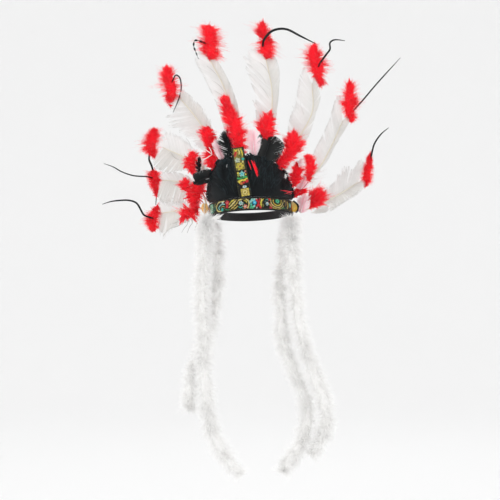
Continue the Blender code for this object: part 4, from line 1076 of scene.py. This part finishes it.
class Weave:
    """Colours and thread height over a ribbon, painted with simple woven motifs (mm)."""

    def __init__(self, u, v):
        self.u, self.v = u, v
        self.col = np.zeros((*u.shape, 3)) + np.array(BLACK)
        self.h = np.zeros(u.shape)

    def paint(self, mask, colour, height=0.28):
        self.col[mask] = colour
        self.h[mask] = height

    def stitch(self, seed, along, across):
        """Darker and lighter stitches, and dark ground showing between some of them."""
        rng = np.random.default_rng(seed)
        table = rng.random((600, 160))
        iu = ((self.u - self.u.min()) / along).astype(int) % 600
        shift = (iu % 2) * 0.5
        iv = ((self.v - self.v.min()) / across + shift).astype(int) % 160
        value = table[iu, iv]
        tone = 0.62 + 0.55 * value
        tone[value < 0.10] = 0.10
        self.col *= tone[..., None]
        self.h += (value - 0.5) * 0.10

    def disk(self, cu, cv, r, colour, ru=None):
        self.paint(((self.u - cu) / (ru or r)) ** 2 + ((self.v - cv) / r) ** 2 < 1, colour)

    def ring(self, cu, cv, r, w, colour, arc=None):
        d = np.hypot(self.u - cu, self.v - cv)
        m = np.abs(d - r) < w / 2
        if arc:
            a = np.degrees(np.arctan2(self.v - cv, self.u - cu)) % 360
            m &= ((a - arc[0]) % 360) < (arc[1] - arc[0])
        self.paint(m, colour)

    def flower(self, cu, cv, r, petals, colour, heart, turn=0.0, depth=0.35):
        a = np.arctan2(self.v - cv, self.u - cu)
        d = np.hypot(self.u - cu, self.v - cv)
        edge = r * (1 - depth * (0.5 - 0.5 * np.cos(petals * (a - turn))))
        self.paint(d < edge, colour)
        self.disk(cu, cv, r * 0.32, heart)

    def stroke(self, points, w, colour, taper=True):
        line = catmull([(x, y, 0) for x, y in points], 60)[:, :2]
        lo, hi = line.min(0) - w, line.max(0) + w
        near = ((self.u > lo[0]) & (self.u < hi[0]) & (self.v > lo[1]) & (self.v < hi[1]))
        if not near.any():
            return
        q = np.stack([self.u[near], self.v[near]], -1)
        d = np.linalg.norm(q[:, None] - line[None], axis=-1)
        k = np.argmin(d, 1)
        width = w / 2 * (np.sin(np.pi * np.clip(k / 59, 0.04, 0.96)) ** 0.5 if taper else 1)
        m = np.zeros(self.u.shape, bool)
        m[near] = d.min(1) < width
        self.paint(m, colour)

    def scatter(self, seed, count):
        """A ground of small curled stitches between the motifs."""
        rng = np.random.default_rng(seed)
        span = (self.u.min(), self.u.max()), (self.v.min(), self.v.max())
        shades = (GOLD, GOLD2, GOLD, TEAL, GREEN, TEAL2, (0.45, 0.34, 0.08), RED)
        for k in range(count):
            x, y = rng.uniform(*span[0]), rng.uniform(*span[1])
            a, r = rng.uniform(0, 2 * np.pi), rng.uniform(1.2, 2.4)
            turn = rng.uniform(0.8, 1.7) * rng.choice((-1, 1))
            pts = [(x + r * math.cos(a + turn * q), y + r * math.sin(a + turn * q)) for q in (0, 1, 2)]
            shade = np.array(shades[int(rng.integers(len(shades)))]) * 0.6
            self.stroke(pts, rng.uniform(0.6, 1.0), shade)

    def spiral(self, cu, cv, r, turns, w, colour, start=0.0):
        t = np.linspace(0.12, 1, 14)
        a = start + t * turns * 2 * np.pi
        self.stroke([(cu + r * k * math.cos(x), cv + r * k * math.sin(x)) for k, x in zip(t, a)],
                    w, colour, taper=False)


def selvedge(w, across, along):
    """Plain black edges with a fine broken gold line inside each."""
    rim = np.abs(across).max() - 0.9
    w.paint(np.abs(across) > rim, BLACK, 0.05)
    w.paint((np.abs(np.abs(across) - rim) < 0.30) & (np.sin(along * 2.6) > 0.1), (0.10, 0.085, 0.03), 0.15)


def band_motifs(w):
    """The brow ribbon's row of motifs from the left temple to the right one."""
    # pale green block at the left end
    w.paint((np.abs(w.u + 94) < 9.5) & (np.abs(w.v) < 7.6), (0.16, 0.50, 0.36))
    w.disk(-93, 0.5, 6.6, TEAL2, ru=6.2)
    w.disk(-95.5, 2.5, 3.2, (0.10, 0.55, 0.34), ru=2.4)
    w.stroke([(-99, -7), (-94, -3), (-93, 3), (-97, 7)], 1.6, YELLOW)
    w.stroke([(-88, 6), (-89.5, 0), (-87, -6)], 1.4, GOLD2)
    w.flower(-105, 0, 5.0, 5, ORANGE, GOLD2, 0.4)
    # gold hook scroll with teal lines inside
    w.stroke([(-50, 7.6), (-58, 8.4), (-65, 7.2), (-70, 3.8), (-72, -0.8), (-69, -5.8), (-62, -8.2), (-57, -7.6)], 2.2,
             GOLD2, taper=False)
    w.stroke([(-48.6, 2.6), (-55, 3.4), (-61, 1.6), (-65, -2.2), (-62.5, -5.0)], 1.7, TEAL2, taper=False)
    w.stroke([(-50, -1.0), (-55, -0.4), (-59, -2.6)], 1.5, GOLD)
    w.disk(-55.5, -5.8, 2.7, TEAL, ru=3.4)
    w.disk(-54, 6.0, 1.7, PALE, ru=2.2)
    w.stroke([(-79, 7), (-77, 0), (-80, -7)], 1.6, TEAL)
    w.stroke([(-75.5, 8), (-77, 4), (-75, 1)], 1.3, GOLD)
    # red flower
    w.flower(-43.2, 4.4, 5.0, 5, RED, (0.75, 0.15, 0.16), 0.4)
    w.disk(-43.6, -2.0, 2.8, RED)
    w.stroke([(-48, -5.4), (-43, -7.6), (-37, -7.0)], 1.8, GREEN)
    # gold leaves
    for k, pts in enumerate((((-39.5, 0.4), (-36, 4.2), (-32, 6.8), (-27, 9.0)),
                             ((-40, -4.2), (-35, -1.0), (-29.5, 3.4), (-23.6, 8.6)),
                             ((-36.5, -7.2), (-31, -3.8), (-25.4, 0.8), (-20.6, 6.4)),
                             ((-31, -7.8), (-26, -5.6), (-22, -2.2)))):
        w.stroke(pts, (2.2, 2.8, 2.5, 1.8)[k], (YELLOW, GOLD2, GOLD, GOLD)[k])
    w.stroke([(-30, 8.6), (-25, 5.6), (-22, 3.0)], 1.0, (0.25, 0.16, 0.05))
    # gold arch over a pale flower and an orange one
    w.stroke([(-21, 6.6), (-15, 8.6), (-8.6, 8.4), (-4.2, 4.6), (-3.2, -1.0), (-5.0, -7.0)], 2.3, GOLD2, taper=False)
    w.stroke([(-12, 5.4), (-8, 4.6), (-6.4, 1.0)], 1.5, YELLOW)
    w.flower(-16.8, 1.6, 4.2, 6, PALE, TEAL, 0.2)
    w.stroke([(-21.5, -3.8), (-17, -6.2), (-13.4, -4.0)], 1.6, TEAL)
    w.flower(-9.4, -4.6, 4.0, 5, (0.75, 0.24, 0.16), PALE, 0.6)
    # turquoise, blue and green flower
    w.disk(4.2, 6.6, 3.0, TEAL2, ru=4.0)
    w.disk(-0.4, 3.2, 2.5, TEAL2)
    w.disk(0.6, -1.6, 2.0, (0.10, 0.55, 0.40))
    w.disk(6.3, 1.4, 3.8, (0.04, 0.42, 0.66), ru=3.2)
    w.disk(6.6, 1.4, 1.6, (0.20, 0.70, 0.80))
    w.disk(1.6, -6.6, 2.7, (0.08, 0.50, 0.24), ru=3.8)
    w.disk(5.4, -4.6, 1.8, TEAL2)
    # red cross and yellow leaf
    w.stroke([(9.2, 8.0), (12, 2.4), (13.6, -2.6), (16.6, -8.0)], 3.1, RED, taper=False)
    w.stroke([(15.6, 8.2), (13.0, 1.0), (9.2, -8.0)], 2.5, RED, taper=False)
    w.disk(9.8, 8.0, 1.1, PALE)
    w.disk(9.6, -7.6, 1.2, PALE)
    w.stroke([(22.4, 7.6), (18.6, 4.4), (17.4, 0.0), (17.6, -5.4)], 2.9, YELLOW)
    w.stroke([(17.4, 8.2), (18.6, 5.4)], 1.8, GOLD2)
    w.stroke([(21, -1.0), (20.4, -6.6)], 1.3, GOLD)
    # small pale leaf and reds after a dark gap
    w.disk(28.4, -0.6, 3.0, PALE, ru=2.6)
    w.disk(28.0, -1.2, 1.4, (0.10, 0.35, 0.50))
    w.stroke([(25.4, 5.6), (28.6, 7.0), (31, 4.6)], 1.2, TEAL)
    w.disk(33.0, 6.8, 2.2, RED)
    w.disk(35.2, -7.0, 2.5, (0.50, 0.02, 0.05), ru=3.0)
    w.stroke([(33.4, 1.8), (36, -1.8), (40, -4.4)], 1.4, (0.60, 0.10, 0.08))
    # green eye in wide gold arcs
    for ru, rv, wide, shade, turn in ((19.4, 13.0, 1.4, GOLD, (205, 330)), (14.6, 10.4, 1.5, GOLD2, (176, 352)),
                                      (9.8, 7.2, 1.6, YELLOW, (168, 372))):
        angles = np.radians(np.linspace(*turn, 12))
        w.stroke([(50.2 + ru * math.cos(t), 4.6 + rv * math.sin(t)) for t in angles], wide, shade, taper=False)
    w.disk(50.2, 4.8, 3.3, (0.03, 0.42, 0.20), ru=5.0)
    w.ring(50.2, 4.8, 2.4, 1.0, (0.16, 0.68, 0.42))
    w.disk(50.2, 4.8, 0.9, BLACK)
    w.stroke([(59, -7.6), (65, -5.6), (70, -7.0)], 1.6, (0.10, 0.40, 0.14))
    # brown and gold leaves at the right end
    w.stroke([(72, 7.6), (75, 3.4), (73, -1.6)], 4.0, (0.26, 0.15, 0.06))
    w.stroke([(79, 7.0), (82, 0.6), (78.6, -6.6)], 3.4, GOLD)
    w.stroke([(68.4, 8.2), (70.4, 4.6)], 1.6, GOLD2)
    w.disk(92, 1, 4.4, TEAL2, ru=3.4)
    w.flower(102, -1, 5.0, 5, RED, ORANGE, 0.4)


def centre_motifs(w):
    """The standing ribbon, foot at v = 0 (its length runs along v here, mm)."""
    # lowest block: gold square with a pale cap over it
    w.paint((np.abs(w.u - 0.8) < 7.0) & (w.v > 0.8) & (w.v < 13.8), GOLD)
    w.flower(0.8, 7.2, 5.4, 4, GOLD2, (0.30, 0.18, 0.05), 0.785, depth=0.30)
    w.ring(0.8, 7.2, 4.4, 1.0, (0.42, 0.30, 0.06))
    w.disk(0.8, 7.2, 1.2, YELLOW)
    for sx in (-1, 1):
        for sv in (2.6, 12.0):
            w.disk(0.8 + sx * 5.6, sv, 1.2, YELLOW)
    w.disk(1.6, 16.2, 2.2, PALE, ru=3.6)
    w.disk(2.6, 16.4, 1.2, (0.25, 0.55, 0.75))
    # middle block: red, orange and yellow under a green bar and a turquoise flower
    w.disk(-3.0, 23.0, 2.3, ORANGE, ru=3.0)
    w.disk(6.6, 25.4, 3.0, RED)
    w.disk(1.4, 23.6, 1.7, RED)
    w.stroke([(-7, 26.4), (-2, 27.8), (3, 27.4), (7.4, 29.4)], 3.0, YELLOW, taper=False)
    w.disk(-5.8, 24.8, 1.5, YELLOW)
    w.stroke([(-7, 32.0), (-2, 31.0), (3, 32.6), (7.6, 32.0)], 3.2, (0.06, 0.42, 0.12), taper=False)
    w.flower(1.0, 38.4, 5.2, 5, TEAL2, (0.05, 0.50, 0.66), 0.3)
    w.disk(-5.6, 40.6, 1.9, YELLOW)
    w.disk(-5.8, 36.4, 1.7, (0.45, 0.60, 0.10))
    w.disk(6.8, 41.6, 1.5, (0.75, 0.25, 0.20))
    w.disk(6.8, 36.6, 1.6, YELLOW)
    # long top block: olive gold with a yellow flower, a pale one, and red and gold leaves
    w.paint((np.abs(w.u) < 7.7) & (w.v > 45.4) & (w.v < 81.5), (0.26, 0.23, 0.05))
    w.flower(-0.4, 51.4, 6.8, 6, YELLOW, (0.36, 0.20, 0.06), 0.1, depth=0.30)
    w.ring(-0.4, 51.4, 3.6, 0.9, (0.40, 0.30, 0.05))
    w.flower(-3.0, 62.0, 5.0, 5, (0.52, 0.60, 0.42), PALE, 0.5)
    w.disk(-4.6, 58.0, 1.1, BLACK)
    w.disk(6.6, 62.8, 2.4, TEAL)
    w.disk(5.4, 58.2, 1.5, GOLD2)
    w.stroke([(2.8, 58), (3.6, 64), (2.2, 69.4)], 1.5, (0.05, 0.06, 0.03), taper=False)
    w.stroke([(-7.0, 68.4), (-5.4, 72.6), (-1.6, 78.6)], 3.2, RED)
    w.stroke([(-5.0, 67.8), (-2.8, 72.0), (-0.6, 75.0)], 1.8, ORANGE)
    w.stroke([(-5.6, 80.8), (-3.0, 78.0), (0.2, 80.6)], 2.2, YELLOW)
    w.stroke([(1.0, 69.8), (2.4, 75.0), (1.6, 80.6)], 2.3, GOLD2)
    w.stroke([(6.0, 67.4), (6.8, 73.0), (5.4, 80.4)], 2.3, YELLOW)
    w.stroke([(4.2, 68.4), (4.6, 74.0), (3.8, 79.6)], 1.0, (0.06, 0.20, 0.05), taper=False)


def ribbon_mesh(name, node, place, weave, u01, v01, thick):
    """A raised brocade grid whose rim drops to a plain back."""
    pad = lambda x: np.pad(x, 1, mode="edge")
    h = np.full((weave.h.shape[0] + 2, weave.h.shape[1] + 2), -thick)
    h[1:-1, 1:-1] = weave.h
    uu, vv = pad(weave.u), pad(weave.v)
    front_p = place(uu, vv, thick + h)
    col = np.ones((*h.shape, 4))
    col[..., 0], col[..., 1], col[..., 2] = 0.5, pad(u01), pad(v01)
    b = Build()
    b.grid(front_p, col, 0)
    iu = np.unique(np.linspace(0, h.shape[0] - 1, 60).astype(int))
    iv = np.unique(np.linspace(0, h.shape[1] - 1, 5).astype(int))[::-1]
    pick = np.ix_(iu, iv)
    b.grid(place(uu[pick], vv[pick], np.zeros((len(iu), len(iv)))), col[pick], 1)
    obj = b.finish(name, [MATS["brocade"], MATS["band"]], [node], smooth=True)
    me = obj.data
    att = me.color_attributes.new("motif", 'FLOAT_COLOR', 'POINT')
    full = np.zeros((len(me.vertices), 4), np.float32)
    full[:, :3] = BLACK
    full[:, 3] = 1
    tint = np.pad(weave.col, ((1, 1), (1, 1), (0, 0)), mode="edge")
    full[:h.size, :3] = tint.reshape(-1, 3)
    att.data.foreach_set("color", full.ravel())
    return obj


def make_bands():
    band_loop("headband_cloth", "headband", MATS["band"], -BAND_END, BAND_END, 0.0,
              BAND_WALL, BAND_HEIGHT, 121)
    band_loop("back_elastic_web", "back_elastic", MATS["elastic"], BAND_END + 0.24,
              360 - BAND_END - 0.24, 0.4, 2.0, ELASTIC_HEIGHT, 101)

    # brow ribbon: u runs round the oval in mm, measured along it
    deg = np.linspace(-RIBBON_END, RIBBON_END, 421)
    ring = oval(deg, BAND_WALL + 0.3, 0.0)
    run = np.concatenate([[0], np.cumsum(np.linalg.norm(np.diff(ring, axis=0), axis=1))])
    run -= np.interp(0.0, deg, run)
    vv = np.linspace(-RIBBON_HEIGHT / 2, RIBBON_HEIGHT / 2, 37)
    uu, vm = np.meshgrid(run, vv, indexing="ij")
    w = Weave(uu, vm)
    w.scatter(11, 130)
    band_motifs(w)
    w.stitch(21, 0.95, 0.62)
    selvedge(w, vm, uu)

    def place(u, v, height):
        return oval(np.interp(u, run, deg), BAND_WALL + 0.3 + height, v)

    ribbon_mesh("band_ribbon_brocade", "band_ribbon", place, w, (uu - run[0]) / 250.0,
                (vm + RIBBON_HEIGHT / 2) / RIBBON_HEIGHT, 0.6)

    # standing ribbon
    foot, top = np.array(CENTRE_FOOT), np.array(CENTRE_TOP)
    axis = unit(top - foot)
    side = unit(np.cross(axis, np.array([0.12, 1.0, 0.0])))
    face = unit(np.cross(side, axis))
    if face[1] > 0:
        face = -face
    length = float(np.linalg.norm(top - foot))
    right = side if side[0] > 0 else -side
    us = np.linspace(-CENTRE_WIDTH / 2, CENTRE_WIDTH / 2, 39)
    vs = np.linspace(0, length, 145)
    uu, vm = np.meshgrid(us, vs, indexing="ij")
    w = Weave(uu, vm)
    w.scatter(12, 34)
    centre_motifs(w)
    w.stitch(22, 0.62, 0.95)
    selvedge(w, uu, vm)

    def stand(u, v, height):
        bow = 0.9 * np.sin(np.pi * v / length) - 0.7 * (u / 11.0) ** 2
        return (foot + axis * v[..., None] + right * u[..., None]
                + face * (bow + height - 0.6)[..., None])

    ribbon_mesh("centre_ribbon_brocade", "centre_ribbon", stand, w, vm / 250.0,
                (uu + CENTRE_WIDTH / 2) / CENTRE_WIDTH, 0.6)

    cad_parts["crest_felt"].data.materials.clear()
    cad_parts["crest_felt"].data.materials.append(MATS["felt"])


# ================================================================ filaments and boas
def make_filaments():
    thick = {"filament_1": 1.45, "filament_2": 1.05, "filament_3": 1.55, "filament_4": 1.0,
             "filament_5": 1.5, "filament_6": 1.8, "filament_7": 1.45, "filament_8": 1.1,
             "filament_9": 1.4}
    for name, pts in FILAMENTS:
        line = Line(pts, 90)
        b = Build()
        s = np.linspace(0, 1, 60)
        r = 1.25 * thick[name] * np.interp(s, (0, 0.25, 0.75, 1.0), (0.75, 1.0, 0.8, 0.3))
        dashed = name == "filament_5"
        b.tube(line, r, sides=8, flat=0.22 if dashed else 0.8, twist=22.0 if dashed else 0.0)
        b.finish(name + "_quill", [MATS["black_shaft"]], [name])


def keep_near(build, line, limit):
    """Draws points in so that none stands further than the limit (mm) from the line."""
    dense = line.at(np.linspace(0, 1, 400))[0]
    for j, v in enumerate(build.v):
        for i in range(0, len(v), 20000):
            part = v[i:i + 20000].astype(float)
            near = dense[np.argmin(((part[:, None] - dense[None]) ** 2).sum(-1), axis=1)]
            away = part - near
            d = np.linalg.norm(away, axis=1, keepdims=True)
            soft = np.where(d > limit * 0.8, limit * (0.8 + 0.2 * np.tanh((d / limit - 0.8) / 0.2)), d)
            v[i:i + 20000] = near + away * soft / np.maximum(d, 1e-6)


def make_boas():
    pieces = []
    for i, (name, pts) in enumerate(BOAS):
        line = Line(pts, 160)
        b = Build()
        n = int(line.length * 27)
        wide = ((0, 15.5), (0.05, 17), (0.3, 16), (0.6, 17), (0.85, 18), (1.0, 14.5))
        # a smooth inner body in the darker core white: painted shade where the strands around it would shadow it
        body = np.linspace(0.005, 0.99, 110)
        ang = np.linspace(0, 2 * np.pi, 18, endpoint=False)
        rng = np.random.default_rng(780 + i)
        lump = np.stack([catmull(rng.normal(size=(22, 3)), 110)[:, 0] for _ in ang], 1)
        lump = (lump + np.roll(lump, 1, 1) + np.roll(lump, -1, 1)) / 3
        c, _, side, face = line.at(body)
        r = (curve_of(wide, body) * 0.43)[:, None] * (1 + 0.16 * np.clip(lump, -2, 2))
        r[0] = r[-1] = 0.2
        ring = (c[:, None] + side[:, None] * (np.cos(ang)[None] * r)[..., None]
                + face[:, None] * (np.sin(ang)[None] * r)[..., None])
        col = np.ones((*ring.shape[:2], 4))
        col[..., 0], col[..., 1], col[..., 2] = 0.6, 0.8, body[:, None]
        b.grid(ring, col, 1, wrap_v=True)
        down(b, line, wide, n, 700 + i, lean=(0, 0), width=0.38, tip=0.09, clump=18, pull=0.40,
             spread=0.022, vary=0.18, droop=0.14, curl=0.35, seg=3)
        down(b, line, wide, n // 3, 720 + i, lean=(0, 0), width=0.16, tip=0.05, clump=5, pull=0.25,
             spread=0.03, vary=0.26, droop=0.10, curl=0.6, seg=3, out=1.24)
        if i != 1:      # a fluffy head at the temple
            down(b, line, ((0, 12.5), (1, 12.5)), 1300, 740 + i, lean=(-34, -34), width=0.34, tip=0.09,
                 clump=12, pull=0.3, vary=0.15, droop=-0.05, curl=0.5, share=(0.008, 0.06))
            down(b, line, ((0, 18), (1, 18)), 1000, 760 + i, lean=(-5, -5), width=0.32, tip=0.08,
                 clump=12, pull=0.3, vary=0.15, droop=0.1, curl=0.5, share=(0.012, 0.10))
        b.tube(line, [1.4] * 60, sides=6)
        keep_near(b, line, 23.3)
        obj = b.finish(name + "_down", [MATS["white_down"], MATS["shaded_white_core"]], [name])
        pieces.append(obj)
    b = Build()      # the left front boa's tied white end, under the band
    for pts, wide in ((((211, 218.6), (216, 216.2), (219.6, 216.6), (223.8, 213.8)), (0.5, 1.0, 1.1, 0.3)),
                      (((213, 218), (216.6, 218.4), (221, 219.4)), (0.4, 0.9, 0.3)),
                      (((212, 218.6), (215.6, 220), (217.8, 222.2)), (0.4, 0.7, 0.2)),
                      (((214, 217), (217, 214.6), (220, 213.8)), (0.3, 0.7, 0.2))):
        b.tube(Line(front(pts, (-56, -68), 12), 24), wide, sides=6, material=0)
    mass(b, ((212.6, 218.6), (215.6, 214.8), (223.4, 213.6)), ((212.6, 218.6), (217.6, 221), (223.4, 213.6)),
         -63, 140, 795, thick=0.3, root=(0, 0.5), width=0.34, tip=0.08, clump=6, pull=0.4, vary=0.1,
         bow=0.2, turn=0.3)
    b.finish("boa_tie_end", [MATS["white_down"]], ["headband"])
    return pieces


# ================================================================ stage, light, camera
def make_stage():
    scene = bpy.context.scene
    cam_data = bpy.data.cameras.new("camera")
    cam_data.sensor_width = 36.0
    cam_data.lens = 36.0 * 2.6 / 0.875
    cam_data.clip_start, cam_data.clip_end = 0.05, 60
    cam = bpy.data.objects.new("camera", cam_data)
    cam.location = (-0.00175, -2.6, -0.075)
    cam.rotation_euler = (math.radians(90), 0, 0)
    scene.collection.objects.link(cam)
    scene.camera = cam

    # a round pale floor whose far rim curves up, so that every view meets the same ground
    floor_z, flat_r, curve_r, high = -0.80, 4.0, 2.0, 3.0
    prof = [(0.0, floor_z)] + [(flat_r * k / 6, floor_z) for k in range(1, 7)]
    prof += [(flat_r + curve_r * math.sin(a), floor_z + curve_r * (1 - math.cos(a)))
             for a in np.linspace(0, math.pi / 2, 13)[1:]]
    prof += [(flat_r + curve_r, floor_z + curve_r + high)]
    ang = np.linspace(0, 2 * np.pi, 96, endpoint=False)
    verts = [(0, 0, floor_z)]
    for r, z in prof[1:]:
        verts += [(r * math.cos(a), r * math.sin(a), z) for a in ang]
    faces = [(0, 1 + j, 1 + (j + 1) % 96) for j in range(96)]
    for k in range(len(prof) - 2):
        o, n = 1 + k * 96, 1 + (k + 1) * 96
        faces += [(o + j, n + j, n + (j + 1) % 96, o + (j + 1) % 96) for j in range(96)]
    me = bpy.data.meshes.new("floor")
    me.from_pydata(verts, [], faces)
    me.shade_smooth()
    floor = bpy.data.objects.new("floor", me)
    scene.collection.objects.link(floor)
    mat, nt, bsdf = new_material("floor_paper", 0.9, specular=0.1)
    bsdf.inputs["Base Color"].default_value = (0.90, 0.90, 0.90, 1)
    me.materials.append(mat)

    world = bpy.data.worlds.new("studio")
    world.use_nodes = True
    world.node_tree.nodes["Background"].inputs["Color"].default_value = (1.0, 1.0, 1.0, 1)
    world.node_tree.nodes["Background"].inputs["Strength"].default_value = 1.07
    scene.world = world

    def area(name, place, aim, size, power, colour=(1, 1, 1)):
        data = bpy.data.lights.new(name, 'AREA')
        data.shape = 'DISK'
        data.size = size
        data.energy = power
        data.color = colour
        obj = bpy.data.objects.new(name, data)
        obj.location = place
        obj.rotation_mode = 'QUATERNION'
        obj.rotation_quaternion = (Vector(aim) - Vector(place)).to_track_quat('-Z', 'Y')
        scene.collection.objects.link(obj)

    area("key", (-1.5, -2.7, 1.7), (0, 0, 0.0), 1.4, 20)
    area("fill", (2.0, -2.6, 0.4), (0, 0, 0.0), 1.6, 7)
    area("back", (0.6, 2.8, 2.2), (0, 0, 0.05), 1.5, 8)

    scene.view_settings.view_transform = 'Standard'
    scene.view_settings.look = 'None'
    scene.view_settings.exposure = 0.0
    scene.cycles.diffuse_bounces = 10
    scene.cycles.max_bounces = 14


make_stage()
make_materials()
make_boas()
make_filaments()
make_white_feathers()
make_red_tips()
make_plumes()
make_trimmed()
make_crest()
make_bands()
